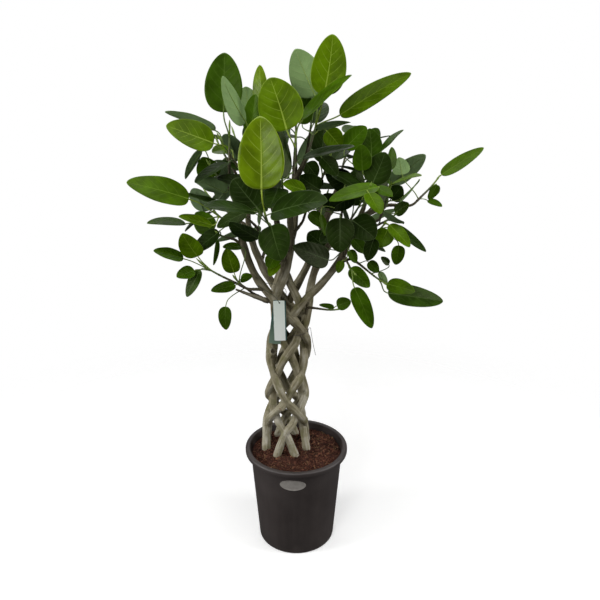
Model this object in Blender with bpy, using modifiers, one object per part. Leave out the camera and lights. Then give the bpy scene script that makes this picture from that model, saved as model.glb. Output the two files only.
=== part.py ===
"""Potted fig on a braided trunk of eight stems.

Metres, +Z up. The origin is the middle of the pot's base, on the floor, and the front faces -Y.
"""
import math
import random
from collections import namedtuple

import bmesh
import bpy
from mathutils import Matrix, Vector
from mathutils.bvhtree import BVHTree

GAP = 0.0003
WELD = 0.00001
SHARP_ANGLE = 40.0

# Pot: a straight cone with a short rolled lip
POT_HEIGHT = 0.290
POT_BASE_RADIUS = 0.109
POT_SLOPE = 0.077
POT_WALL = 0.003
POT_FLOOR = 0.004
LIP_RADIUS = 0.145
LIP_INNER_RADIUS = 0.131
LIP_HEIGHT = 0.015
LIP_EDGE = 0.005
POT_FOOT_CHAMFER = 0.006
POT_STEPS = 24
LIP_BLEND = 0.258
DRAIN_COUNT = 5
DRAIN_RADIUS = 0.006
DRAIN_CIRCLE = 0.070
HOLE_SIDES = 10

# Oval label on the pot
BADGE_WIDTH = 0.071
BADGE_HEIGHT = 0.033
BADGE_MIDDLE = (-0.009, 0.242)
BADGE_THICKNESS = 0.0008
BADGE_SIDES = 28

# Soil
SOIL_EDGE = 0.269
SOIL_MIDDLE = 0.274
SOIL_FLAT_RADIUS = 0.070
STEM_HOLE_RADIUS = 0.0136
STEM_HOLE_FLOOR = 0.2317

# Trunk: four stems wind one way round the braid's axis and four the other way
BRAID_DEPTH = 0.025
STEM_RADIUS = 0.0108
FOOT_RADIUS = 0.0123
STEM_FOOT = 0.232
STEM_UPRIGHT_TO = 0.262
# Height, how many crossings up the braid that is, how far the stems are from its axis, and
# where the axis is from left to right
BRAID = (
    (0.280, -0.5, 0.062, -0.029),
    (0.342, 0.0, 0.052, -0.031),
    (0.440, 2.0, 0.046, -0.027),
    (0.585, 4.0, 0.046, -0.020),
    (0.690, 6.0, 0.044, -0.014),
)
WEAVE = 0.006
TURN_PER_CROSSING = 45.0

# Each stem's own branch, above the braid. A hand of 1 winds up to the right, -1 up to the left.
Branch = namedtuple("Branch", "hand index points")
BRANCHES = (
    Branch(1, 0, ((-0.050, -0.012, 0.745), (-0.026, -0.022, 0.805), (-0.012, -0.020, 0.880),
                  (-0.014, -0.018, 0.950), (-0.006, -0.040, 1.020))),
    Branch(1, 1, ((0.022, -0.014, 0.729), (0.066, -0.004, 0.772), (0.108, -0.002, 0.827),
                  (0.134, -0.008, 0.882), (0.160, -0.018, 0.955))),
    Branch(1, 2, ((0.038, 0.042, 0.745), (0.055, 0.050, 0.805), (0.095, 0.056, 0.870),
                  (0.155, 0.058, 0.925), (0.230, 0.052, 0.965))),
    Branch(1, 3, ((-0.064, 0.068, 0.750), (-0.102, 0.074, 0.822), (-0.126, 0.086, 0.900),
                  (-0.128, 0.090, 0.980))),
    Branch(-1, 0, ((0.004, -0.014, 0.735), (-0.022, 0.004, 0.785), (-0.042, 0.014, 0.850),
                   (-0.048, 0.006, 0.930), (-0.066, -0.020, 1.010))),
    Branch(-1, 1, ((0.002, 0.066, 0.745), (0.030, 0.070, 0.800), (0.062, 0.076, 0.870),
                   (0.088, 0.080, 0.950), (0.110, 0.088, 1.010))),
    Branch(-1, 2, ((-0.056, 0.056, 0.740), (-0.034, 0.088, 0.805), (-0.008, 0.104, 0.880),
                   (0.000, 0.110, 0.950), (0.000, 0.085, 1.030))),
    Branch(-1, 3, ((-0.064, -0.010, 0.738), (-0.109, 0.000, 0.800), (-0.136, 0.000, 0.880),
                   (-0.148, -0.008, 0.950), (-0.150, -0.028, 1.010))),
)
BRANCH_RADIUS = 0.0125
BRANCH_TIP_RADIUS = 0.0062
STEM_POINTS_BELOW_BRANCH = 14
# Branches that were cut or have died back: where each goes, and its radius at both ends
STUBS = (
    (((-0.0212, -0.0220, 0.4387), (-0.0415, -0.0405, 0.4245)), 0.0085, 0.0080),
    (((-0.0680, 0.0120, 0.5560), (-0.0615, -0.0060, 0.5810)), 0.0105, 0.0098),
    (((-0.0735, -0.0080, 0.7257), (-0.1132, -0.0300, 0.7481), (-0.1514, -0.0520, 0.7713)), 0.0072, 0.0025),
)
TWIG_RADIUS = 0.0048
TWIG_END_RADIUS = 0.0030
TWIG_LEAVES_BELOW = 0.050
TWIG_RISE = 0.020

# Leaves
STALK_RADIUS = 0.0015
STALK_FLATNESS = 0.6
STALK_SETBACK = 0.018
STALK_LEAN = 0.020
SHOOT_TIP_RADIUS = 0.0018
SHOOT_START = 0.006
BUD_LENGTH = 0.014
BUD_TIP_RADIUS = 0.0005
BUD_LIFT = 0.4
BLADE_THICKNESS = 0.0016
BLADE_ROWS = 5
# Narrower blades have fewer rows: a width, and how many rows a blade up to it has
NARROW_BLADES = ((0.070, 3), (0.088, 4))
BLADE_FOLD = 0.16
BLADE_ARCH = 0.015
BLADE_WIDEST = 0.71
BLADE_FULLNESS = 0.61
BEND_STEP = 6.0
BEND_LIMIT = 7
LEAF_TURN = 137.5

# Room kept round each piece while the leaves are bent clear of each other
BLADE_ROOM = 0.0022
WOOD_ROOM = 0.002
TWIG_ROOM = 0.001
SHOOT_ROOM = 0.004
STALK_ROOM = 0.003

# Hang tag and tie wire
TAG_WIDTH = 0.032
TAG_LENGTH = 0.110
TAG_BACK_LENGTH = 0.121
TAG_THICKNESS = 0.0012
TAG_HOLE_RADIUS = 0.0022
TAG_HOLE_SIDES = 12
TAG_HOLE = Vector((-0.0424, -0.0450, 0.733))
TAG_HOLE_DROP = 0.006
TAG_FRONT_TURN = -1.2
TAG_BACK_TURN = 7.0
TAG_BACK_PUSH = 0.0030
STRING_RADIUS = 0.0006
STRING_POINTS = (
    (-0.0424, -0.0475, 0.7342), (-0.0445, -0.0500, 0.7380), (-0.0540, -0.0475, 0.7510),
    (-0.0810, -0.0330, 0.7650), (-0.1010, -0.0070, 0.7690), (-0.0880, 0.0105, 0.7690),
    (-0.0560, 0.0100, 0.7660), (-0.0290, -0.0040, 0.7580), (-0.0265, -0.0290, 0.7480),
    (-0.0375, -0.0360, 0.7375), (-0.0424, -0.0405, 0.7342),
)
WIRE_RADIUS = 0.0006
WIRE_MIDDLE = Vector((0.011, -0.007, 0.638))
WIRE_LOOP_RADIUS = 0.0209
WIRE_LOOP_TILT = 0.25
WIRE_LOOP_TURN = (-30.0, 310.0)
WIRE_LOOP_PIECES = 14
# The loose end, from its tip to the loop, measured from where the loop starts
WIRE_LOOSE_END = (
    (0.023, -0.012, -0.062), (0.017, -0.013, -0.034), (0.012, -0.012, -0.006),
    (0.008, -0.010, 0.016), (0, 0, 0),
)

YOUNG = (0.16, 0.36, 0.045)
OLD = (0.035, 0.115, 0.030)
POT_COLOUR = (0.045, 0.040, 0.040)
BADGE_COLOUR = (0.55, 0.55, 0.54)
SOIL_COLOUR = (0.085, 0.030, 0.018)
BARK_COLOUR = (0.23, 0.20, 0.14)
TAG_PALE = (0.62, 0.74, 0.66)
TAG_TEAL = (0.10, 0.24, 0.22)
STRING_COLOUR = (0.10, 0.12, 0.10)
WIRE_COLOUR = (0.06, 0.055, 0.05)

Leaf = namedtuple("Leaf", "base tip width face")
Shoot = namedtuple("Shoot", "root tip colour leaves")

# The shoots that show: where each leaves its twig, where it ends, and each leaf's blade from
# stalk to tip, its width and the way its upper side faces.
SHOOTS = {
    "crown_left": Shoot((-0.155, -0.070, 1.080), (-0.150, -0.080, 1.160), YOUNG, [
        Leaf((-0.160, -0.100, 1.200), (-0.155, -0.080, 1.325), 0.084, (0, -1, 0.1)),
    ]),
    "crown_inner": Shoot((-0.100, -0.070, 1.080), (-0.105, -0.090, 1.160), YOUNG, [
        Leaf((-0.108, -0.135, 1.180), (-0.150, -0.195, 1.272), 0.062, (-0.95, 0.02, 0.4)),
        Leaf((-0.105, -0.050, 1.185), (-0.115, -0.030, 1.255), 0.065, (-0.2, 0.9, 0.2)),
        Leaf((-0.072, -0.060, 1.200), (-0.083, -0.030, 1.302), 0.050, (-0.6, -0.75, 0)),
        Leaf((-0.098, -0.100, 1.151), (-0.086, -0.115, 1.239), 0.048, (-0.4, -0.9, 0.1)),
    ]),
    "crown_centre": Shoot((-0.005, -0.120, 1.065), (0.000, -0.130, 1.140), YOUNG, [
        Leaf((-0.018, -0.160, 1.165), (-0.054, -0.130, 1.272), 0.096, (0, -0.95, 0.2)),
        Leaf((-0.030, -0.150, 1.060), (-0.040, -0.130, 1.170), 0.064, (0.75, -0.6, 0.1)),
        Leaf((0.015, -0.120, 1.185), (0.120, -0.120, 1.280), 0.080, (-0.6, -0.25, 0.75)),
        Leaf((0.017, -0.100, 1.101), (0.132, -0.130, 1.128), 0.056, (0.1, -0.3, 0.95)),
    ]),
    "crown_top": Shoot((0.030, -0.050, 1.110), (0.050, -0.050, 1.180), YOUNG, [
        Leaf((0.045, -0.050, 1.235), (0.000, -0.030, 1.335), 0.080, (0.1, 0.95, 0.1)),
        Leaf((0.064, -0.080, 1.237), (0.083, -0.060, 1.364), 0.078, (0, -1, 0.1)),
        Leaf((0.101, -0.080, 1.194), (0.249, -0.120, 1.282), 0.048, (0.1, -0.9, 0.4)),
        Leaf((0.055, -0.060, 1.160), (0.120, -0.110, 1.190), 0.060, (-0.2, 0.35, 0.9)),
        Leaf((0.075, 0.000, 1.155), (0.110, 0.000, 1.115), 0.050, (0.1, -0.9, 0.3)),
        Leaf((0.062, -0.070, 1.098), (0.096, -0.090, 1.060), 0.044, (0.3, -0.8, 0.5)),
        Leaf((0.015, -0.030, 1.172), (0.029, -0.020, 1.237), 0.046, (-0.2, -0.9, 0.2)),
        Leaf((0.025, -0.020, 1.081), (0.051, -0.030, 1.049), 0.044, (0.2, -0.8, 0.5)),
    ]),
    "left_upper": Shoot((-0.135, -0.050, 1.075), (-0.170, -0.080, 1.135), YOUNG, [
        Leaf((-0.185, -0.060, 1.160), (-0.295, -0.080, 1.200), 0.070, (-0.1, 0.3, 0.95)),
        Leaf((-0.182, -0.120, 1.135), (-0.279, -0.150, 1.174), 0.075, (-0.1, -0.7, 0.65)),
        Leaf((-0.155, -0.100, 1.090), (-0.225, -0.140, 1.050), 0.070, (-0.3, -0.2, 0.95)),
        Leaf((-0.155, -0.040, 1.115), (-0.195, -0.060, 1.110), 0.050, (0, -0.4, 0.9)),
    ]),
    "left_inner": Shoot((-0.160, -0.020, 1.015), (-0.205, -0.020, 1.070), OLD, [
        Leaf((-0.205, 0.000, 1.045), (-0.225, -0.020, 1.095), 0.060, (-0.2, -0.9, 0.3)),
        Leaf((-0.225, -0.020, 1.110), (-0.247, -0.040, 1.036), 0.042, (-0.9, 0.3, 0.2)),
        Leaf((-0.170, -0.050, 1.015), (-0.235, -0.080, 1.050), 0.070, (0.1, 0.6, 0.75)),
        Leaf((-0.225, -0.030, 0.965), (-0.240, -0.050, 1.030), 0.060, (0.3, 0.85, 0.2)),
    ]),
    "far_left": Shoot((-0.155, -0.050, 0.935), (-0.185, -0.080, 0.965), YOUNG, [
        Leaf((-0.245, -0.120, 1.011), (-0.373, -0.160, 1.054), 0.070, (0, -0.7, 0.7)),
        Leaf((-0.260, -0.100, 0.950), (-0.340, -0.140, 0.960), 0.050, (0, -0.25, 1)),
        Leaf((-0.195, -0.120, 0.950), (-0.265, -0.150, 0.975), 0.050, (0.1, -0.3, 0.95)),
        Leaf((-0.205, -0.050, 0.920), (-0.245, -0.040, 0.965), 0.055, (-0.2, -0.9, 0.2)),
    ]),
    "front": Shoot((-0.050, -0.080, 0.915), (-0.065, -0.210, 0.990), YOUNG, [
        Leaf((-0.070, -0.240, 1.050), (-0.071, -0.220, 1.196), 0.096, (0, -1, 0.15)),
        Leaf((-0.083, -0.220, 1.010), (-0.132, -0.200, 1.066), 0.080, (0.25, -0.6, 0.65)),
        Leaf((-0.088, -0.250, 1.006), (-0.194, -0.300, 1.023), 0.062, (0, -0.28, 1)),
        Leaf((-0.050, -0.240, 1.000), (0.065, -0.280, 1.035), 0.088, (0.05, -0.5, 0.85)),
        Leaf((-0.053, -0.200, 0.965), (-0.030, -0.250, 0.900), 0.072, (-0.2, -0.85, 0.4)),
        Leaf((-0.082, -0.180, 0.931), (-0.136, -0.220, 0.980), 0.062, (-0.5, -0.75, -0.1)),
        Leaf((-0.111, -0.160, 0.988), (-0.175, -0.180, 0.958), 0.036, (-0.3, -0.8, 0.5)),
    ]),
    "low_left": Shoot((-0.135, -0.040, 0.775), (-0.225, -0.100, 0.850), YOUNG, [
        Leaf((-0.235, -0.100, 0.870), (-0.265, -0.120, 0.930), 0.055, (-0.2, -0.95, 0.1)),
        Leaf((-0.270, -0.100, 0.865), (-0.335, -0.120, 0.890), 0.040, (0, -0.5, 0.85)),
        Leaf((-0.245, -0.100, 0.835), (-0.285, -0.120, 0.825), 0.040, (0, -0.6, 0.8)),
        Leaf((-0.231, -0.100, 0.836), (-0.275, -0.130, 0.785), 0.038, (-0.5, -0.75, 0.4)),
    ]),
    "low_left_dark": Shoot((-0.160, -0.020, 0.895), (-0.185, -0.070, 0.915), OLD, [
        Leaf((-0.184, -0.080, 0.925), (-0.242, -0.100, 0.868), 0.052, (-0.4, -0.6, 0.7)),
        Leaf((-0.190, -0.080, 0.905), (-0.200, -0.090, 0.845), 0.035, (0.95, -0.2, 0.1)),
    ]),
    "twig_left": Shoot((-0.120, 0.000, 0.750), (-0.150, -0.050, 0.795), YOUNG, [
        Leaf((-0.155, -0.050, 0.815), (-0.170, -0.060, 0.880), 0.045, (-0.1, -0.95, 0.1)),
        Leaf((-0.140, -0.040, 0.795), (-0.110, -0.050, 0.805), 0.030, (0, -0.6, 0.8)),
        Leaf((-0.149, -0.090, 0.795), (-0.204, -0.120, 0.789), 0.034, (0, -0.6, 0.8)),
        Leaf((-0.180, -0.050, 0.725), (-0.180, -0.060, 0.665), 0.036, (-0.2, -0.95, 0.1)),
        Leaf((-0.136, -0.045, 0.880), (-0.178, -0.065, 0.877), 0.034, (0, -0.4, 0.9)),
    ]),
    "right_upper": Shoot((0.170, -0.030, 0.980), (0.185, -0.040, 1.060), YOUNG, [
        Leaf((0.120, 0.000, 1.115), (0.170, 0.000, 1.165), 0.060, (-0.4, -0.7, 0.5)),
        Leaf((0.185, 0.000, 1.090), (0.180, 0.020, 1.160), 0.055, (0.2, -0.9, 0.3)),
        Leaf((0.155, -0.080, 1.070), (0.150, -0.080, 1.130), 0.045, (0, -1, 0.1)),
        Leaf((0.180, -0.080, 1.040), (0.210, -0.060, 1.110), 0.065, (-0.3, -0.9, 0.2)),
        Leaf((0.225, -0.045, 1.068), (0.227, -0.045, 1.121), 0.034, (0.6, -0.75, 0.1)),
        Leaf((0.205, -0.020, 1.110), (0.255, -0.020, 1.160), 0.045, (-0.6, -0.15, 0.75)),
        Leaf((0.180, 0.020, 1.128), (0.204, 0.030, 1.160), 0.036, (0.1, -0.9, 0.2)),
    ]),
    "right_arch": Shoot((0.145, -0.080, 0.950), (0.165, -0.150, 1.035), YOUNG, [
        Leaf((0.183, -0.160, 1.044), (0.074, -0.190, 1.018), 0.050, (-0.1, -0.45, 0.9)),
        Leaf((0.160, -0.190, 1.035), (0.170, -0.235, 0.997), 0.042, (0.3, -0.9, 0.2)),
        Leaf((0.180, -0.150, 1.040), (0.215, -0.170, 1.025), 0.032, (0.2, -0.6, 0.75)),
    ]),
    "far_right": Shoot((0.310, 0.040, 0.980), (0.355, 0.050, 1.025), YOUNG, [
        Leaf((0.370, 0.050, 1.045), (0.480, 0.080, 1.110), 0.036, (-0.35, -0.85, 0.45)),
        Leaf((0.360, 0.050, 1.020), (0.345, 0.060, 0.980), 0.035, (0.5, -0.8, 0.1)),
        Leaf((0.340, 0.050, 0.980), (0.380, 0.050, 0.975), 0.030, (0, -0.4, 0.9)),
        Leaf((0.270, 0.050, 1.045), (0.265, 0.080, 1.085), 0.045, (0.1, 0.95, 0.1)),
    ]),
    "right_front": Shoot((0.210, -0.030, 0.955), (0.225, -0.050, 1.020), YOUNG, [
        Leaf((0.225, -0.060, 1.035), (0.285, -0.120, 1.065), 0.050, (0, -0.3, 0.95)),
        Leaf((0.250, -0.060, 1.000), (0.280, -0.130, 1.055), 0.045, (0.4, -0.75, 0.5)),
        Leaf((0.243, -0.040, 0.964), (0.272, -0.060, 0.989), 0.032, (0, -0.8, 0.5)),
        Leaf((0.233, -0.030, 0.996), (0.256, -0.040, 1.029), 0.044, (0, -0.85, 0.4)),
    ]),
    "right_low": Shoot((0.180, -0.040, 0.905), (0.205, -0.110, 0.945), YOUNG, [
        Leaf((0.215, -0.120, 0.940), (0.195, -0.130, 0.900), 0.045, (-0.1, -0.95, 0.2)),
        Leaf((0.215, -0.140, 0.955), (0.260, -0.170, 0.910), 0.036, (0.4, -0.8, 0.4)),
        Leaf((0.255, -0.050, 0.885), (0.250, -0.050, 0.835), 0.035, (0.1, -0.95, 0.1)),
    ]),
    "right_dark": Shoot((0.120, -0.030, 0.860), (0.110, -0.130, 0.945), OLD, [
        Leaf((0.100, -0.160, 0.975), (0.100, -0.180, 0.900), 0.065, (-0.2, -0.95, 0.2)),
        Leaf((0.130, -0.140, 0.965), (0.180, -0.170, 0.930), 0.070, (0.2, -0.85, 0.45)),
        Leaf((0.180, -0.150, 0.925), (0.165, -0.160, 0.875), 0.036, (0.2, -0.95, 0.1)),
        Leaf((0.080, -0.080, 0.855), (-0.005, -0.140, 0.903), 0.058, (0, -0.9, 0.4)),
        Leaf((0.070, -0.040, 0.880), (0.030, -0.040, 0.915), 0.055, (0, -0.95, 0.2)),
    ]),
    "low_right": Shoot((0.125, -0.020, 0.845), (0.140, -0.050, 0.820), YOUNG, [
        Leaf((0.135, -0.050, 0.825), (0.185, -0.060, 0.780), 0.042, (0.2, -0.85, 0.5)),
        Leaf((0.145, -0.080, 0.785), (0.190, -0.100, 0.685), 0.044, (-0.2, -0.95, 0.3)),
        Leaf((0.141, -0.050, 0.901), (0.171, -0.060, 0.868), 0.034, (0.2, -0.85, 0.4)),
        Leaf((0.133, -0.060, 0.876), (0.148, -0.070, 0.845), 0.024, (0.2, -0.85, 0.4)),
        Leaf((0.116, -0.030, 0.840), (0.106, -0.040, 0.811), 0.022, (-0.2, -0.9, 0.3)),
    ]),
    "low_far_right": Shoot((0.155, 0.000, 0.830), (0.230, -0.030, 0.780), OLD, [
        Leaf((0.230, -0.050, 0.785), (0.295, -0.080, 0.775), 0.044, (0, -0.7, 0.7)),
        Leaf((0.241, 0.000, 0.745), (0.397, 0.040, 0.709), 0.062, (0, -0.75, 0.65)),
        Leaf((0.185, -0.020, 0.835), (0.210, -0.030, 0.810), 0.030, (0.3, -0.8, 0.4)),
        Leaf((0.213, -0.020, 0.808), (0.233, -0.030, 0.776), 0.022, (0.4, 0.8, 0.3)),
        Leaf((0.237, -0.020, 0.829), (0.215, -0.030, 0.850), 0.018, (-0.2, -0.8, 0.5)),
    ]),
    "low_stub": Shoot((0.042, 0.000, 0.704), (0.100, -0.020, 0.704), OLD, [
        Leaf((0.106, -0.030, 0.720), (0.142, -0.030, 0.733), 0.034, (0, -0.9, 0.4)),
        Leaf((0.099, -0.020, 0.713), (0.060, -0.020, 0.719), 0.016, (0, -0.6, 0.8)),
    ]),
    "centre_dark": Shoot((0.115, 0.010, 0.945), (0.120, 0.000, 1.005), OLD, [
        Leaf((0.137, 0.030, 1.019), (0.074, 0.000, 1.058), 0.056, (-0.3, -0.85, 0.3)),
        Leaf((0.140, 0.000, 0.999), (0.084, -0.030, 0.969), 0.054, (-0.3, -0.8, 0.5)),
        Leaf((0.033, -0.020, 0.960), (0.077, -0.030, 0.924), 0.036, (0.2, -0.8, 0.5)),
        Leaf((0.060, -0.090, 0.968), (0.070, -0.100, 0.920), 0.018, (0.5, -0.8, 0.2)),
        Leaf((0.095, 0.000, 0.979), (0.063, 0.000, 0.999), 0.040, (-0.2, -0.8, 0.5)),
    ]),
    "centre_mid": Shoot((0.020, -0.010, 0.945), (0.035, -0.060, 1.005), OLD, [
        Leaf((0.024, -0.120, 1.029), (-0.027, -0.150, 1.049), 0.044, (-0.2, -0.7, 0.7)),
        Leaf((0.058, -0.060, 1.023), (0.010, -0.070, 1.056), 0.050, (-0.1, -0.8, 0.5)),
        Leaf((0.010, 0.020, 1.016), (0.065, 0.000, 1.038), 0.050, (0.1, -0.9, 0.3)),
    ]),
    "centre_small": Shoot((-0.035, -0.040, 0.875), (-0.045, -0.065, 0.865), YOUNG, [
        Leaf((-0.050, -0.070, 0.865), (-0.065, -0.100, 0.840), 0.040, (-0.2, -0.9, 0.3)),
        Leaf((-0.045, -0.060, 0.845), (-0.065, -0.080, 0.815), 0.030, (-0.2, -0.8, 0.5)),
    ]),
}

# The shoots behind and inside the crown, whose leaves follow the spiral rule: root, tip, count,
# and which of the leaves have fallen, counted from the tip
RULED_SHOOTS = {
    "back_top": ((0.000, 0.060, 1.100), (0.000, 0.080, 1.200), 5, (4,)),
    "back_left_high": ((-0.120, 0.080, 1.050), (-0.160, 0.110, 1.140), 5, (0,)),
    "back_left": ((-0.170, 0.100, 0.930), (-0.240, 0.140, 0.980), 5, (1,)),
    "back_mid": ((0.000, 0.140, 0.980), (0.000, 0.220, 1.040), 5, ()),
    "back_right_high": ((0.120, 0.100, 1.050), (0.140, 0.130, 1.130), 5, (1,)),
    "back_right": ((0.200, 0.100, 0.950), (0.250, 0.130, 1.000), 5, (4,)),
    "back_low_left": ((-0.090, 0.130, 0.860), (-0.130, 0.200, 0.880), 4, (3,)),
    "back_low_right": ((0.120, 0.130, 0.860), (0.170, 0.190, 0.880), 4, ()),
    "inner_right": ((0.215, 0.020, 1.010), (0.230, 0.010, 1.085), 5, (0, 1, 3)),
    "inner_centre": ((0.060, 0.000, 1.030), (0.080, -0.030, 1.090), 7, (1,)),
    "inner_left": ((-0.070, 0.020, 1.000), (-0.090, 0.000, 1.060), 5, ()),
    "right_middle": ((0.200, -0.010, 0.925), (0.235, -0.035, 0.950), 4, (0,)),
    "inner_left_low": ((-0.100, -0.030, 0.930), (-0.140, -0.060, 0.980), 4, (3,)),
    "inner_front": ((-0.030, -0.075, 1.000), (-0.030, -0.105, 1.050), 5, ()),
    "inner_top": ((0.030, 0.020, 1.120), (0.040, 0.010, 1.190), 5, (0, 2)),
    "left_dark": ((-0.150, 0.030, 1.050), (-0.190, 0.030, 1.120), 4, (0, 1, 2)),
    "right_inner_low": ((0.130, 0.020, 0.920), (0.160, -0.010, 0.980), 6, ()),
    "back_centre": ((-0.060, 0.110, 1.000), (-0.080, 0.160, 1.070), 4, ()),
    "back_middle": ((0.060, 0.130, 0.930), (0.085, 0.190, 0.970), 3, ()),
}
RULED_LENGTH = (0.090, 0.130)
RULED_PROPORTION = (0.48, 0.58)
RULED_STALK = (0.022, 0.036)
RULED_DROOP = 0.45
RULED_SPREAD = (38.0, 78.0)
RULED_REACH = 0.85
RULED_SEED = 7


def between(low, high, share):
    """The value that lies a share of the way from low to high."""
    return low + (high - low) * share


def smooth_route(points, pieces):
    """A smooth curve through the points, with a number of pieces from each to the next."""
    spots = [Vector(p) for p in points]
    ends = [2 * spots[0] - spots[1]] + spots + [2 * spots[-1] - spots[-2]]
    route = []
    for i in range(1, len(ends) - 2):
        a, b, c, d = ends[i - 1:i + 3]
        for k in range(pieces):
            t = k / pieces
            route.append(0.5 * (2 * b + (c - a) * t + (2 * a - 5 * b + 4 * c - d) * t ** 2
                                + (3 * b - a - 3 * c + d) * t ** 3))
    return route + [spots[-1]]


def bent_route(start, end, leaving, arriving, pieces):
    """A curve from start to end with the given directions, pull in its length, at its ends."""
    pull = (end - start).length
    out, back = leaving.normalized() * pull, arriving.normalized() * pull
    route = []
    for k in range(pieces + 1):
        t = k / pieces
        route.append(start * (2 * t ** 3 - 3 * t ** 2 + 1) + out * (t ** 3 - 2 * t ** 2 + t)
                     + end * (3 * t ** 2 - 2 * t ** 3) + back * (t ** 3 - t ** 2))
    return route


def braid_point(hand, index, crossing):
    """Where a stem's middle is, a number of crossings up the braid."""
    low, high = next((a, b) for a, b in zip(BRAID, BRAID[1:]) if crossing <= b[1])
    share = (crossing - low[1]) / (high[1] - low[1])
    height = between(low[0], high[0], share)
    # Stems of one hand weave in and out. Those of the other stay in, or out, by turns.
    if hand > 0:
        weave = math.cos(math.pi * (crossing + index))
    else:
        weave = -math.cos(math.pi * index)
    inside = max(0.0, min(1.0, crossing + 0.5))
    radius = between(low[2], high[2], share) + WEAVE * weave * inside
    angle = math.radians(90 * index - 90 + hand * TURN_PER_CROSSING * crossing)
    return Vector((between(low[3], high[3], share) + radius * math.cos(angle),
                   BRAID_DEPTH + radius * math.sin(angle), height))


def stem_route(branch):
    """A stem from its foot in the soil, up the braid and along its branch."""
    first, last = BRAID[0][1], BRAID[-1][1]
    marks = [first + 0.5 * k for k in range(round((last - first) / 0.5) + 1)]
    braided = [braid_point(branch.hand, branch.index, m) for m in marks]
    foot = [Vector((braided[0].x, braided[0].y, z)) for z in (STEM_FOOT, STEM_UPRIGHT_TO)]
    return foot + braided[:-1] + [Vector(p) for p in branch.points]


def stem_radii(route):
    """The stem's radius along its route: even up the braid, then thinning to the branch's tip."""
    start = STEM_POINTS_BELOW_BRANCH
    radii = []
    for k in range(len(route)):
        if k < start:
            radii.append(between(FOOT_RADIUS, STEM_RADIUS, min(1.0, k / 3)))
        else:
            share = (k - start) / (len(route) - 1 - start)
            radii.append(between(BRANCH_RADIUS, BRANCH_TIP_RADIUS, share))
    return radii


def twig_route(stems, root, heading):
    """A woody twig from the nearest branch to a shoot's root, ending along the shoot."""
    aim = root - Vector((0, 0, TWIG_LEAVES_BELOW))
    wood = [p for route in stems for p in smooth_route(route[STEM_POINTS_BELOW_BRANCH:], 4)]
    wood.sort(key=lambda p: (p - aim).length)
    start = wood[0]
    last = root - heading * SHOOT_START
    leaving = (last - start) + Vector((0, 0, TWIG_RISE))
    return bent_route(start, last, leaving, heading, 2) + [root]


def ruled_leaves(root, tip, count, draw):
    """Leaves in a spiral round a shoot, the lower ones held further out."""
    heading = (tip - root).normalized()
    side = heading.orthogonal().normalized()
    leaves = []
    turn = draw.uniform(0, 360)
    for k in range(count):
        on = between(tip, root, RULED_REACH * k / count)
        out = Matrix.Rotation(math.radians(turn + LEAF_TURN * k), 3, heading) @ side
        spread = math.radians(between(*RULED_SPREAD, k / count))
        aim = heading * math.cos(spread) + out * math.sin(spread)
        aim = (aim + Vector((0, 0, draw.uniform(-RULED_DROOP, 0.0)))).normalized()
        length = draw.uniform(*RULED_LENGTH)
        base = on + aim * draw.uniform(*RULED_STALK)
        leaves.append(Leaf(base, base + aim * length, length * draw.uniform(*RULED_PROPORTION),
                           heading + Vector((0, 0, 0.8))))
    return leaves


def all_shoots():
    """Every shoot, with points as vectors."""
    shoots = {}
    for name, shoot in SHOOTS.items():
        leaves = [Leaf(Vector(b), Vector(t), w, Vector(f)) for b, t, w, f in shoot.leaves]
        shoots[name] = Shoot(Vector(shoot.root), Vector(shoot.tip), shoot.colour, leaves)
    draw = random.Random(RULED_SEED)
    for name, (root, tip, count, fallen) in RULED_SHOOTS.items():
        leaves = ruled_leaves(Vector(root), Vector(tip), count, draw)
        leaves = [leaf for k, leaf in enumerate(leaves) if k not in fallen]
        shoots[name] = Shoot(Vector(root), Vector(tip), OLD, leaves)
    return shoots


def shoot_route(shoot):
    """A green shoot from its root to its bud, which turns up a little."""
    heading = (shoot.tip - shoot.root).normalized()
    lift = heading + Vector((0, 0, BUD_LIFT))
    start = shoot.root + heading * SHOOT_START
    bud = shoot.tip + lift.normalized() * BUD_LENGTH
    return [shoot.root] + bent_route(start, bud, heading, lift, 3)


def stalk_route(shoot, leaf):
    """A leaf's stalk, from a little before the point of the shoot that is nearest to its blade."""
    route = shoot_route(shoot)[1:-1]
    heading = (shoot.tip - shoot.root).normalized()
    aim = leaf.base - heading * STALK_SETBACK
    spots = [between(a, b, t / 4) for a, b in zip(route, route[1:]) for t in range(5)]
    start = min(spots, key=lambda p: (p - aim).length)
    out = (leaf.base - start) + heading * STALK_LEAN
    return bent_route(start, leaf.base, out, leaf.tip - leaf.base, 2)


def blade_axes(leaf):
    """The blade's own directions: along it, across it, and out of its upper side."""
    along = (leaf.tip - leaf.base).normalized()
    up = (leaf.face - along * leaf.face.dot(along)).normalized()
    return along, along.cross(up), up


def blade_point(leaf, u, v):
    """A point of the blade, u of the way to its tip and v of the way to its edge."""
    along, across, up = blade_axes(leaf)
    length = (leaf.tip - leaf.base).length
    s = u ** BLADE_WIDEST
    half = 0.5 * leaf.width * (4 * s * (1 - s)) ** BLADE_FULLNESS
    lift = BLADE_FOLD * half * abs(v) + BLADE_ARCH * length * 4 * u * (1 - u)
    return leaf.base + along * (u * length) + across * (v * half) + up * lift


def blade_rows(count):
    """How far along the blade each of its rows of points lies, closer at its ends."""
    return [0.5 - 0.5 * math.cos(math.pi * k / count) for k in range(count + 1)]


def slab_of(leaf):
    """The space that a blade needs: its sheet, moved a little to each side."""
    up = blade_axes(leaf)[2]
    points, faces = [], []
    for side in (-1, 1):
        start = len(points)
        for u in blade_rows(BLADE_ROWS):
            for v in (-1, 0, 1):
                points.append(blade_point(leaf, u, v) + up * side * BLADE_ROOM)
        for row in range(BLADE_ROWS):
            for column in range(2):
                k = start + 3 * row + column
                faces += [(k, k + 1, k + 4), (k, k + 4, k + 3)]
    return BVHTree.FromPolygons(points, faces)


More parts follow.
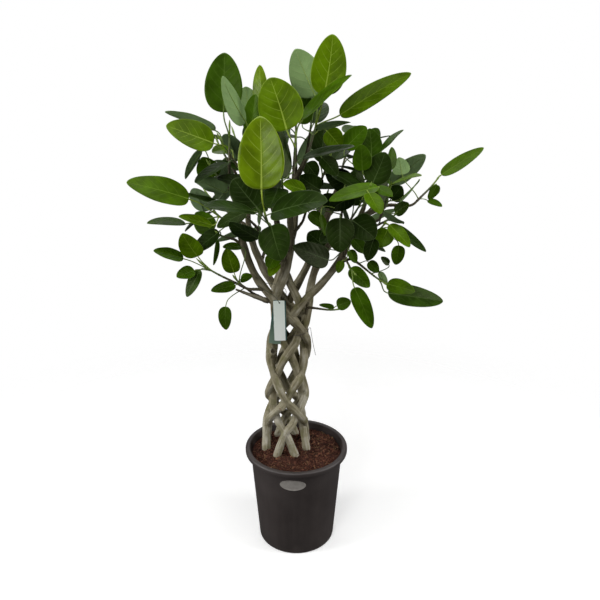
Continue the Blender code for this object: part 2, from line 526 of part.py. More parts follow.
def path_of(route, radius):
    """The space that a twig or stalk needs: a three-sided rod round its route."""
    points, faces = [], []
    for k, spot in enumerate(route):
        heading = (route[min(k + 1, len(route) - 1)] - route[max(k - 1, 0)]).normalized()
        side = heading.orthogonal().normalized()
        for turn in range(3):
            out = Matrix.Rotation(math.radians(120 * turn), 3, heading) @ side
            points.append(spot + out * radius)
        if k:
            for turn in range(3):
                a, b = 3 * k + turn, 3 * k + (turn + 1) % 3
                faces += [(a, b, b - 3), (a, b - 3, a - 3)]
    return BVHTree.FromPolygons(points, faces)


def bends():
    """Turns to try on a leaf that is in the way, in degrees, the smallest first."""
    reach = range(-BEND_LIMIT, BEND_LIMIT + 1)
    turns = [(nod * BEND_STEP, swing * BEND_STEP) for nod in reach for swing in reach]
    return sorted(turns, key=lambda t: t[0] ** 2 + t[1] ** 2)


def bent(leaf, nod, swing):
    """The leaf turned about its base, up or down and to a side."""
    along, across, up = blade_axes(leaf)
    turn = (Matrix.Rotation(math.radians(nod), 3, across)
            @ Matrix.Rotation(math.radians(swing), 3, up))
    return leaf._replace(tip=leaf.base + turn @ (leaf.tip - leaf.base), face=turn @ up)


def settled(shoots, stems):
    """The shoots with each leaf bent clear of the wood, the stalks and the leaves before it.

    A leaf that no turn brings clear is left out.
    """
    wood = [(None, path_of(r, BRANCH_RADIUS + WOOD_ROOM)) for r in stems]
    wood += [(None, path_of([Vector(p) for p in points], first + WOOD_ROOM)) for points, first, _ in STUBS]
    stalks = []
    for name, shoot in shoots.items():
        heading = (shoot.tip - shoot.root).normalized()
        twig = twig_route(stems, shoot.root, heading)
        wood.append((None, path_of(twig, TWIG_RADIUS + TWIG_ROOM)))
        wood.append((name, path_of(shoot_route(shoot), SHOOT_ROOM)))
        for leaf in shoot.leaves:
            stalks.append((name, path_of(stalk_route(shoot, leaf), STALK_ROOM)))
    in_way = wood + stalks
    result = {}
    for name, shoot in shoots.items():
        leaves = []
        for leaf in shoot.leaves:
            others = [tree for owner, tree in in_way if owner != name]
            for nod, swing in bends():
                tried = bent(leaf, nod, swing)
                slab = slab_of(tried)
                if not any(slab.overlap(tree) for tree in others):
                    leaves.append(tried)
                    in_way.append((name + " blades", slab))
                    break
        result[name] = shoot._replace(leaves=leaves)
    return result


def material(name, colour, roughness, metallic=0.0):
    """A plain material for one kind of surface."""
    made = bpy.data.materials.get(name)
    if made:
        return made
    made = bpy.data.materials.new(name)
    made.use_nodes = True
    shader = made.node_tree.nodes["Principled BSDF"]
    shader.inputs["Base Color"].default_value = (*colour, 1)
    shader.inputs["Roughness"].default_value = roughness
    shader.inputs["Metallic"].default_value = metallic
    return made


def placed(name, data, home):
    """A new object in a collection."""
    made = bpy.data.objects.new(name, data)
    home.objects.link(made)
    return made


def finished(made, surface):
    """The object with its material, shaded smooth up to its sharp edges."""
    made.data.materials.clear()
    made.data.materials.append(surface)
    made.data.shade_smooth()
    made.data.set_sharp_from_angle(angle=math.radians(SHARP_ANGLE))
    return made


def applied(made):
    """The object with its modifiers applied."""
    view = bpy.context.evaluated_depsgraph_get()
    mesh = bpy.data.meshes.new_from_object(made.evaluated_get(view))
    made.modifiers.clear()
    made.data = mesh
    return made


def tube(name, route, radii, home, resolution=1, loop=False):
    """A closed tube along a route, or along a loop, as a mesh."""
    curve = bpy.data.curves.new(name, "CURVE")
    curve.dimensions = "3D"
    curve.bevel_depth = radii[0]
    curve.bevel_resolution = resolution
    curve.use_fill_caps = not loop
    spline = curve.splines.new("POLY")
    spline.points.add(len(route) - 1)
    spline.use_cyclic_u = loop
    for point, spot, radius in zip(spline.points, route, radii):
        point.co = (*spot, 1)
        point.radius = radius / radii[0]
    guide = placed(name + "_guide", curve, home)
    view = bpy.context.evaluated_depsgraph_get()
    mesh = bpy.data.meshes.new_from_object(guide.evaluated_get(view))
    shape = bmesh.new()
    shape.from_mesh(mesh)
    bmesh.ops.remove_doubles(shape, verts=shape.verts, dist=WELD)
    bmesh.ops.recalc_face_normals(shape, faces=shape.faces)
    shape.to_mesh(mesh)
    shape.free()
    bpy.data.objects.remove(guide)
    return placed(name, mesh, home)


def turned(name, profile, home):
    """A turned shape from a profile of radius and height that runs down its outer side."""
    shape = bmesh.new()
    points = [shape.verts.new((r, 0, z)) for r, z in profile]
    for a, b in zip(points, points[1:]):
        shape.edges.new((a, b))
    mesh = bpy.data.meshes.new(name)
    shape.to_mesh(mesh)
    shape.free()
    made = placed(name, mesh, home)
    screw = made.modifiers.new("turn", "SCREW")
    screw.steps = POT_STEPS
    screw.render_steps = POT_STEPS
    screw.use_merge_vertices = True
    screw.merge_threshold = WELD
    return applied(made)


def rod(name, spot, radius, depth, sides, home):
    """An upright cylinder round a spot."""
    shape = bmesh.new()
    bmesh.ops.create_cone(shape, cap_ends=True, segments=sides, radius1=radius, radius2=radius,
                          depth=depth, matrix=Matrix.Translation(spot))
    mesh = bpy.data.meshes.new(name)
    shape.to_mesh(mesh)
    shape.free()
    return placed(name, mesh, home)


def combined(made, others, operation):
    """The object joined with, or cut by, a collection's objects, which are then removed."""
    join = made.modifiers.new("combine", "BOOLEAN")
    join.operation = operation
    join.operand_type = "COLLECTION"
    join.collection = others
    join.solver = "EXACT"
    applied(made)
    for used in list(others.objects):
        bpy.data.objects.remove(used)
    return made


def wall_radius(height):
    """The pot's outer radius at a height."""
    return POT_BASE_RADIUS + POT_SLOPE * height


def make_pot(home, tools):
    """The pot: a cone with a thin wall, a rounded base edge, a rolled lip and drain holes."""
    top, under, edge = POT_HEIGHT, POT_HEIGHT - LIP_HEIGHT, LIP_EDGE
    wall_foot = POT_FLOOR + 0.001
    profile = [
        (0, POT_FLOOR), (wall_radius(POT_FLOOR) - POT_WALL, POT_FLOOR),
        (wall_radius(LIP_BLEND) - POT_WALL, LIP_BLEND), (LIP_INNER_RADIUS, top - edge),
        (LIP_INNER_RADIUS + 0.8 * edge, top), (LIP_RADIUS - edge, top), (LIP_RADIUS, top - edge),
        (LIP_RADIUS, under + edge), (LIP_RADIUS - edge, under),
        (wall_radius(top) - 0.2 * edge, under - 0.8 * edge), (wall_radius(LIP_BLEND), LIP_BLEND),
        (wall_radius(wall_foot), wall_foot), (POT_BASE_RADIUS - POT_FOOT_CHAMFER, 0), (0, 0),
    ]
    pot = turned("pot", profile, home)
    for k in range(DRAIN_COUNT):
        angle = math.radians(360 * k / DRAIN_COUNT)
        spot = (DRAIN_CIRCLE * math.cos(angle), DRAIN_CIRCLE * math.sin(angle), 0)
        rod("drain", spot, DRAIN_RADIUS, 4 * POT_FLOOR, HOLE_SIDES, tools)
    combined(pot, tools, "DIFFERENCE")
    return finished(pot, material("pot_plastic", POT_COLOUR, 0.55))


def make_badge(home, tools):
    """The blank oval label, cut from a thin shell that follows the pot's wall."""
    low, high = BADGE_MIDDLE[1] - BADGE_HEIGHT, BADGE_MIDDLE[1] + BADGE_HEIGHT
    inner, outer = GAP, GAP + BADGE_THICKNESS
    profile = [(wall_radius(low) + inner, low), (wall_radius(high) + inner, high),
               (wall_radius(high) + outer, high), (wall_radius(low) + outer, low),
               (wall_radius(low) + inner, low)]
    badge = turned("badge", profile, home)
    spot = Matrix.Translation((BADGE_MIDDLE[0], -wall_radius(BADGE_MIDDLE[1]), BADGE_MIDDLE[1]))
    oval = rod("oval", (0, 0, 0), 0.5, 0.06, BADGE_SIDES, tools)
    oval.matrix_world = (spot @ Matrix.Rotation(math.radians(90), 4, "X")
                         @ Matrix.Diagonal((BADGE_WIDTH, BADGE_HEIGHT, 1, 1)))
    combined(badge, tools, "INTERSECT")
    return finished(badge, material("badge_silver", BADGE_COLOUR, 0.4))


def make_soil(home, tools, stems):
    """The soil, filling the pot, with a plain hole for each stem."""
    low = POT_FLOOR + GAP
    inner = POT_WALL + GAP
    profile = [(0, SOIL_MIDDLE), (SOIL_FLAT_RADIUS, SOIL_MIDDLE),
               (wall_radius(SOIL_EDGE) - inner, SOIL_EDGE),
               (wall_radius(low) - inner - 0.0002, low), (0, low)]
    soil = turned("soil", profile, home)
    depth = 2 * (SOIL_MIDDLE - STEM_HOLE_FLOOR)
    for route in stems:
        spot = (route[0].x, route[0].y, STEM_HOLE_FLOOR + depth / 2)
        rod("stem_hole", spot, STEM_HOLE_RADIUS, depth, HOLE_SIDES, tools)
    combined(soil, tools, "DIFFERENCE")
    return finished(soil, material("coir_soil", SOIL_COLOUR, 0.95))


def make_trunk(home, tools, stems, shoots):
    """The braid, its branches, the cut stubs and the woody twigs, grown together."""
    trunk = None
    for route in stems:
        stem = tube("stem", route, stem_radii(route), tools)
        if trunk is None:
            trunk = stem
            tools.objects.unlink(stem)
            home.objects.link(stem)
    for points, first, last in STUBS:
        radii = [between(first, last, k / (len(points) - 1)) for k in range(len(points))]
        tube("stub", points, radii, tools)
    for shoot in shoots.values():
        heading = (shoot.tip - shoot.root).normalized()
        route = twig_route(stems, shoot.root, heading)
        radii = [between(TWIG_RADIUS, TWIG_END_RADIUS, k / (len(route) - 1))
                 for k in range(len(route))]
        tube("twig", route, radii, tools, 0)
    trunk.name = "trunk"
    combined(trunk, tools, "UNION")
    return finished(trunk, material("bark", BARK_COLOUR, 0.8))


def leaf_rings(shoot, leaf):
    """The leaf's cross sections, each of four points, up its stalk and along its blade."""
    along, side, up = blade_axes(leaf)
    rings = []
    start, bend, base = stalk_route(shoot, leaf)
    before = along
    # From the blade back to the shoot, each section is turned no more than the stalk bends
    mitre = along + (base - bend).normalized()
    for spot, heading in ((base, mitre), (bend, base - start), (start, bend - start)):
        side = before.rotation_difference(heading) @ side
        before = heading
        wide = side.normalized() * STALK_RADIUS
        thick = wide.cross(heading.normalized()) * STALK_FLATNESS
        rings.insert(0, [spot - wide, spot + thick, spot + wide, spot - thick])
    count = next((rows for width, rows in NARROW_BLADES if leaf.width < width), BLADE_ROWS)
    for u in blade_rows(count)[1:]:
        half = up * (0.5 * BLADE_THICKNESS if u < 1 else 0)
        middle = blade_point(leaf, u, 0)
        rings.append([blade_point(leaf, u, -1), middle + half, blade_point(leaf, u, 1),
                      middle - half])
    return rings


def make_leaf(shoot, leaf, home):
    """A stalk and its blade: a grid rolled round the leaf's cross sections."""
    rings = leaf_rings(shoot, leaf)
    shape = bmesh.new()
    bmesh.ops.create_grid(shape, x_segments=4, y_segments=len(rings) - 1, size=1)
    # The upper and lower faces are split along the same diagonals, so that they never cross
    for side, method in ((-1, "FIXED"), (1, "ALTERNATE")):
        faces = [f for f in shape.faces if f.calc_center_median().x * side > 0]
        bmesh.ops.triangulate(shape, faces=faces, quad_method=method)
    for point in shape.verts:
        ring = round((point.co.y + 1) / 2 * (len(rings) - 1))
        point.co = rings[ring][round((point.co.x + 1) * 2) % 4]
    bmesh.ops.remove_doubles(shape, verts=shape.verts, dist=WELD)
    bmesh.ops.holes_fill(shape, edges=shape.edges, sides=4)
    bmesh.ops.triangulate(shape, faces=shape.faces)
    bmesh.ops.recalc_face_normals(shape, faces=shape.faces)
    mesh = bpy.data.meshes.new("leaf")
    shape.to_mesh(mesh)
    shape.free()
    return placed("leaf", mesh, home)


def make_shoot(name, shoot, home, tools):
    """A leafy shoot: green stem, stalks and blades in one body."""
    route = shoot_route(shoot)
    heading = (shoot.tip - shoot.root).normalized()
    route[0] = shoot.root + heading * GAP
    radii = [between(TWIG_END_RADIUS, SHOOT_TIP_RADIUS, k / (len(route) - 2))
             for k in range(len(route) - 1)]
    stem = tube("shoot_" + name, route, radii + [BUD_TIP_RADIUS], home, 0)
    for leaf in shoot.leaves:
        make_leaf(shoot, leaf, tools)
    combined(stem, tools, "UNION")
    surface = "young_leaf" if shoot.colour is YOUNG else "old_leaf"
    return finished(stem, material(surface, shoot.colour, 0.4))


def make_card(name, length, turn, push, surface, home, tools):
    """A card of the hang tag, with its hole, turned about the hole."""
    shape = bmesh.new()
    size = Matrix.Diagonal((TAG_WIDTH, TAG_THICKNESS, length, 1))
    drop = Matrix.Translation((0, 0, TAG_HOLE_DROP - length / 2))
    bmesh.ops.create_cube(shape, size=1, matrix=drop @ size)
    mesh = bpy.data.meshes.new(name)
    shape.to_mesh(mesh)
    shape.free()
    card = placed(name, mesh, home)
    hole = rod("hole", (0, 0, 0), TAG_HOLE_RADIUS, 0.01, TAG_HOLE_SIDES, tools)
    hole.matrix_world = Matrix.Rotation(math.radians(90), 4, "X")
    combined(card, tools, "DIFFERENCE")
    spin = Matrix.Rotation(math.radians(turn), 4, "Y")
    card.data.transform(Matrix.Translation(TAG_HOLE + Vector((0, push, 0))) @ spin)
    return finished(card, surface)


def make_string(home):
    """The string: a closed loop through the tag's holes and round two branches."""
    closed = STRING_POINTS[-1:] + STRING_POINTS + STRING_POINTS[:2]
    route = smooth_route(closed, 2)[2:-3]
    string = tube("tag_string", route, [STRING_RADIUS] * len(route), home, 0, True)
    return finished(string, material("string", STRING_COLOUR, 0.9))


def make_wire(home):
    """The tie wire: once round two crossing stems, with a loose end that hangs."""
    loop = []
    for k in range(WIRE_LOOP_PIECES + 1):
        angle = math.radians(between(*WIRE_LOOP_TURN, k / WIRE_LOOP_PIECES))
        out = Vector((math.cos(angle), math.sin(angle), WIRE_LOOP_TILT * math.cos(angle)))
        loop.append(WIRE_MIDDLE + out * WIRE_LOOP_RADIUS)
    loose = [loop[0] + Vector(step) for step in WIRE_LOOSE_END]
    route = smooth_route(loose, 2)[:-1] + loop
    wire = tube("tie_wire", route, [WIRE_RADIUS] * len(route), home, 0)
    return finished(wire, material("wire_grey", WIRE_COLOUR, 0.5))


def main():
    for old in list(bpy.data.objects):
        bpy.data.objects.remove(old)
    home = bpy.data.collections.new("potted_fig")
    tools = bpy.data.collections.new("shaping")
    bpy.context.scene.collection.children.link(home)
    bpy.context.scene.collection.children.link(tools)
    stems = [stem_route(branch) for branch in BRANCHES]
    shoots = settled(all_shoots(), stems)
    make_pot(home, tools)
    make_badge(home, tools)
    make_soil(home, tools, stems)
    make_trunk(home, tools, stems, shoots)
    for name, shoot in shoots.items():
        make_shoot(name, shoot, home, tools)
    pale, teal = material("tag_pale", TAG_PALE, 0.5), material("tag_teal", TAG_TEAL, 0.5)
    make_card("tag_front", TAG_LENGTH, TAG_FRONT_TURN, 0, pale, home, tools)
    make_card("tag_back", TAG_BACK_LENGTH, TAG_BACK_TURN, TAG_BACK_PUSH, teal, home, tools)
    make_string(home)
    make_wire(home)


main()
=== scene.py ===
"""Looks of the potted fig: fine leaves, bark, soil, pot, label and hang tag on the fixed frame.

Metres, +Z up, the front faces -Y. The plant grows by the same rules as the frame's own pieces.
"""
import math
import random
from collections import namedtuple

import bmesh
import bpy
import numpy as np
from mathutils import Matrix, Vector
from mathutils.bvhtree import BVHTree


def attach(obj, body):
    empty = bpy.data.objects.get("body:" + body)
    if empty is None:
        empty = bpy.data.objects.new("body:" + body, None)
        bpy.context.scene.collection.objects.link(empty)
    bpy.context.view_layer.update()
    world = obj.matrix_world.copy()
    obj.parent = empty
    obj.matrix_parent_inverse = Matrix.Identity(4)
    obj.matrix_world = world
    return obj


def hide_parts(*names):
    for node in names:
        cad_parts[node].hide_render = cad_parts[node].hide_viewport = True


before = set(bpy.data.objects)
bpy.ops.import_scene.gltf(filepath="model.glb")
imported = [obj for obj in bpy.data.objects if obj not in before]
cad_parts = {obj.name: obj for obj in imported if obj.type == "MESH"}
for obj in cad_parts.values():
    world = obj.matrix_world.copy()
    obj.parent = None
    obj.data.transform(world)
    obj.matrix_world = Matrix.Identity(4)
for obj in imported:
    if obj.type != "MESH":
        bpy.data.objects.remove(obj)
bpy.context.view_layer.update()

# Camera, as it stood for the photograph
CAMERA_PLACE = (0.0104, -1.5086, 1.2335)
CAMERA_DOWN = 18.6
CAMERA_SENSOR = 36.0
CAMERA_LENS = 36.27

# Pot: a straight cone with a short rolled lip
POT_HEIGHT = 0.290
POT_BASE_RADIUS = 0.109
POT_SLOPE = 0.077
POT_WALL = 0.003
POT_FLOOR = 0.004
LIP_RADIUS = 0.145
LIP_INNER_RADIUS = 0.131
LIP_HEIGHT = 0.015
LIP_EDGE = 0.005
LIP_BLEND = 0.258
POT_FOOT_ROUND = 0.006
POT_STEPS = 144
POT_WALL_HEIGHTS = (0.06, 0.12, 0.18, 0.23, LIP_BLEND)
DRAIN_COUNT = 5
DRAIN_RADIUS = 0.006
DRAIN_CIRCLE = 0.070
DRAIN_SIDES = 24
# Points of a turned piece that lie closer than this are one
SAME_SPOT = 0.00001
# Edges that bend by more than this many degrees stay crisp
SHARP_ANGLE = 50
CARD_SHARP_ANGLE = 40

# Oval label on the pot
BADGE_WIDTH = 0.071
BADGE_HEIGHT = 0.033
BADGE_MIDDLE = (-0.009, 0.242)
BADGE_GAP = 0.0003
BADGE_THICKNESS = 0.0008
BADGE_SIDES = 96
# How far in and how far down each step of the label's raised rim goes, then the rings inside it
BADGE_RIM = ((0.012, 0), (0.035, 0), (0.012, -0.4 * BADGE_THICKNESS))
BADGE_RINGS = 7
BADGE_RING_WIDTH = 0.055

# Soil
SOIL_EDGE = 0.269
SOIL_MIDDLE = 0.274
SOIL_SIDES = 160
SOIL_RINGS = 44
SOIL_GAP = 0.0003
SOIL_SHADE = 0.30
# Hollows and lumps: how many waves, how tight the widest and the finest are, and how high
WAVE_COUNT = 26
WAVE_RATES = (60, 620)
WAVE_HEIGHT = 0.0011
CHIP_COUNT = 1600
# A chip's length, then its width and depth as shares of that, and how many are half as long again
CHIP_LENGTH = (0.0016, 0.0062)
CHIP_WIDTH = (0.25, 0.6)
CHIP_DEPTH = (0.14, 0.34)
CHIPS_LARGE = 0.12
CHIP_TEAR = 0.45
FIBRE_COUNT = 640
FIBRE_LENGTH = (0.008, 0.026)
FIBRE_RADII = (0.00022, 0.00042, 0.00042, 0.00022)
FIBRE_SHADES = (0.25, 0.45, 0.6, 0.75, 0.9, 0.98)
CHIP_SEED = 3
STEM_FOOT = 0.232
STEM_UPRIGHT_TO = 0.262

# Trunk: four stems wind one way round the braid's axis and four the other way
BRAID_DEPTH = 0.025
STEM_RADIUS = 0.0108
FOOT_RADIUS = 0.0123
# Height, how many crossings up the braid that is, how far the stems are from its axis, and
# where the axis is from left to right
BRAID = (
    (0.280, -0.5, 0.062, -0.029),
    (0.342, 0.0, 0.052, -0.031),
    (0.440, 2.0, 0.046, -0.027),
    (0.585, 4.0, 0.046, -0.020),
    (0.690, 6.0, 0.044, -0.014),
)
WEAVE = 0.006
TURN_PER_CROSSING = 45.0

# Each stem's own branch above the braid, in millimetres. A hand of 1 winds up to the right and
# -1 up to the left.
Branch = namedtuple("Branch", "hand index points")
BRANCHES = (
    Branch(1, 0, ((-50, -12, 745), (-26, -22, 805), (-12, -20, 880), (-14, -18, 950),
                  (-6, -40, 1020))),
    Branch(1, 1, ((22, -14, 729), (66, -4, 772), (108, -2, 827), (134, -8, 882), (160, -18, 955))),
    Branch(1, 2, ((38, 42, 745), (55, 50, 805), (95, 56, 870), (155, 58, 925), (230, 52, 965))),
    Branch(1, 3, ((-64, 68, 750), (-102, 74, 822), (-126, 86, 900), (-128, 90, 980))),
    Branch(-1, 0, ((4, -14, 735), (-22, 4, 785), (-42, 14, 850), (-48, 6, 930), (-66, -20, 1010))),
    Branch(-1, 1, ((2, 66, 745), (30, 70, 800), (62, 76, 870), (88, 80, 950), (110, 88, 1010))),
    Branch(-1, 2, ((-56, 56, 740), (-34, 88, 805), (-8, 104, 880), (0, 110, 950), (0, 85, 1030))),
    Branch(-1, 3, ((-64, -10, 738), (-109, 0, 800), (-136, 0, 880), (-148, -8, 950),
                   (-150, -28, 1010))),
)
BRANCH_RADIUS = 0.0125
BRANCH_TIP_RADIUS = 0.0062
STEM_POINTS_BELOW_BRANCH = 14
# Branches that were cut or have died back: where each goes, and its radius at both ends
STUBS = (
    (((-0.0212, -0.0220, 0.4387), (-0.0415, -0.0405, 0.4245)), 0.0085, 0.0080),
    (((-0.0680, 0.0120, 0.5560), (-0.0615, -0.0060, 0.5810)), 0.0105, 0.0098),
    (((-0.0735, -0.0080, 0.7257), (-0.1132, -0.0300, 0.7481), (-0.1514, -0.0520, 0.7713)),
     0.0072, 0.0025),
)
TWIG_RADIUS = 0.0048
TWIG_END_RADIUS = 0.0030
TWIG_LEAVES_BELOW = 0.050
TWIG_RISE = 0.020

# How finely round pieces are made: the sides and rings of each rod
STEM_ROD = (28, 280)
TWIG_ROD = (10, 26)
SHOOT_ROD = (12, 48)
STALK_ROD = (8, 36)
WIRE_ROD = (8, 160)
FIBRE_ROD = (4, 6)

# Leaves, with the tone of each: 0 is the youngest and palest, 1 the oldest and darkest
STALK_SETBACK = 0.018
STALK_LEAN = 0.020
SHOOT_START = 0.006
BUD_LENGTH = 0.014
BUD_LIFT = 0.4
BLADE_ROWS = 5
BLADE_FOLD = 0.16
BLADE_ARCH = 0.015
BLADE_WIDEST = 0.71
BLADE_FULLNESS = 0.61
BEND_STEP = 6.0
BEND_LIMIT = 7
LEAF_TURN = 137.5

# Room kept round each piece while the leaves are bent clear of each other
BLADE_ROOM = 0.0022
WOOD_ROOM = 0.002
TWIG_ROOM = 0.001
SHOOT_ROOM = 0.004
STALK_ROOM = 0.003

# Hang tag and tie wire
TAG_WIDTH = 0.032
TAG_LENGTH = 0.110
TAG_BACK_LENGTH = 0.121
TAG_THICKNESS = 0.0012
TAG_HOLE_RADIUS = 0.0022
TAG_CORNER = 0.0022
TAG_LAYERS = 3
# How many bands and strips a card is cut into, so that it can bow
TAG_BANDS = 12
TAG_STRIPS = 8
TAG_HOLE = Vector((-0.0424, -0.0450, 0.733))
TAG_HOLE_DROP = 0.006
TAG_FRONT_TURN = -1.2
TAG_BACK_TURN = 7.0
TAG_BACK_PUSH = 0.0030
STRING_RADIUS = 0.0006
STRING_RINGS = 240
STRING_SIDES = 10
STRING_POINTS = (
    (-0.0424, -0.0475, 0.7342), (-0.0445, -0.0500, 0.7380), (-0.0540, -0.0475, 0.7510),
    (-0.0810, -0.0330, 0.7650), (-0.1010, -0.0070, 0.7690), (-0.0880, 0.0105, 0.7690),
    (-0.0560, 0.0100, 0.7660), (-0.0290, -0.0040, 0.7580), (-0.0265, -0.0290, 0.7480),
    (-0.0375, -0.0360, 0.7375), (-0.0424, -0.0405, 0.7342),
)
WIRE_RADIUS = 0.0006
WIRE_MIDDLE = Vector((0.011, -0.007, 0.638))
WIRE_LOOP_RADIUS = 0.0209
WIRE_LOOP_TILT = 0.25
WIRE_LOOP_TURN = (-30.0, 310.0)
WIRE_LOOP_PIECES = 14
# The loose end, from its tip to the loop, measured from where the loop starts
WIRE_LOOSE_END = (
    (0.023, -0.012, -0.062), (0.017, -0.013, -0.034), (0.012, -0.012, -0.006),
    (0.008, -0.010, 0.016), (0, 0, 0),
)

# Fine leaf shape: how the blade's faces are spread, and where its veins run
BLADE_COLUMNS = 18
BLADE_CUTS = 34
LEAF_THICKNESS = 0.0007
FULL_BLADE = 0.14
VEIN_RISE = 0.22
VEIN_CURL = 0.12
VEIN_STAGGER = 0.02
VEIN_RATE = 6.1
VEIN_START = 0.42
QUILT = 0.004
# A blade's two sides ripple out of step, and its tip droops from here on
RIPPLE_SHIFT = 0.37
DROOP_FROM = 0.6
BUD_EXTRA = 0.010
# The midrib under the blade: its points, the part of the blade it runs along, and its depth
RIB_POINTS = 18
RIB_SPAN = (-0.97, 0.84)
RIB_DEPTH = (0.0006, 0.0001)
# Radii of a stalk and its midrib, thick where it leaves the shoot
STALK_RADII = (0.0026, 0.0019, 0.0016, 0.0017, 0.0013, 0.0003)
# Marks along a shoot and its radius at each: it thins, then swells into its bud
SHOOT_MARKS = (0, 0.1, 0.72, 0.80, 0.88, 0.96, 1)
SHOOT_RADII = (0.0036, 0.0030, 0.0021, 0.0020, 0.0027, 0.0016, 0.0003)
HABIT_SEED = 11
# How a blade hangs: wavy edges, a drooping tip and a sideways sway
Habit = namedtuple("Habit", "wave ripples phase droop sway")

# Bark
KNOT_SEED = 5
KNOTS_PER_STEM = 9
KNOT_REACH = (0.12, 0.95)
KNOT_HEIGHT = (0.10, 0.26)
KNOT_LENGTH = 0.009
KNOT_TURN = 0.55
BARK_TURN = 6.283

# How each stub ends: how deep its cut face has rotted and if that is pale, or none if it tapers
STUB_ENDS = ((0.0, True), (0.5, False), None)

# Hang tag colours, from the bottom up. The teal card's lighter lower part is a painted sheen.
TAG_PALE_STOPS = [(0.0, (0.95, 0.995, 0.94)), (1.0, (0.88, 0.97, 0.885))]
TAG_TEAL_AND_SHEEN_STOPS = [(0.0, (0.15, 0.22, 0.16)), (0.3, (0.07, 0.13, 0.095)),
                  (0.6, (0.035, 0.10, 0.085)), (1.0, (0.015, 0.045, 0.04))]
TAG_SPINE = (0.03, 0.10, 0.09)
TAG_SPINE_EDGE = (0.0032, 0.0026)
TAG_BOW = 0.0012
TAG_SPREAD = 0.0012

# Studio: each lamp's place, size and power. The front fill gives no sheen.
ROOM_LIGHT = 0.08
FLOOR_GLOW = 0.35
FLOOR_RADIUS = 30
FLOOR_FADE = (0.7, 1.7)
LAMP_AIM = (0, 0, 0.8)
LAMPS = (
    ("left box", (-2.2, -0.6, 1.3), (0.8, 1.6), 36),
    ("right box", (2.2, -0.5, 1.3), (0.8, 1.6), 31),
    ("top box", (0.1, -0.5, 2.9), (1.8, 1.8), 36),
    ("front box", (-0.9, -2.4, 1.75), (0.8, 0.8), 14),
    ("front fill", (-0.9, -2.4, 1.75), (0.8, 0.8), 6),
    ("rear box", (-0.2, 1.8, 2.6), (1.6, 1.2), 12),
)

Leaf = namedtuple("Leaf", "base tip width face tone")
Shoot = namedtuple("Shoot", "root tip colour leaves")

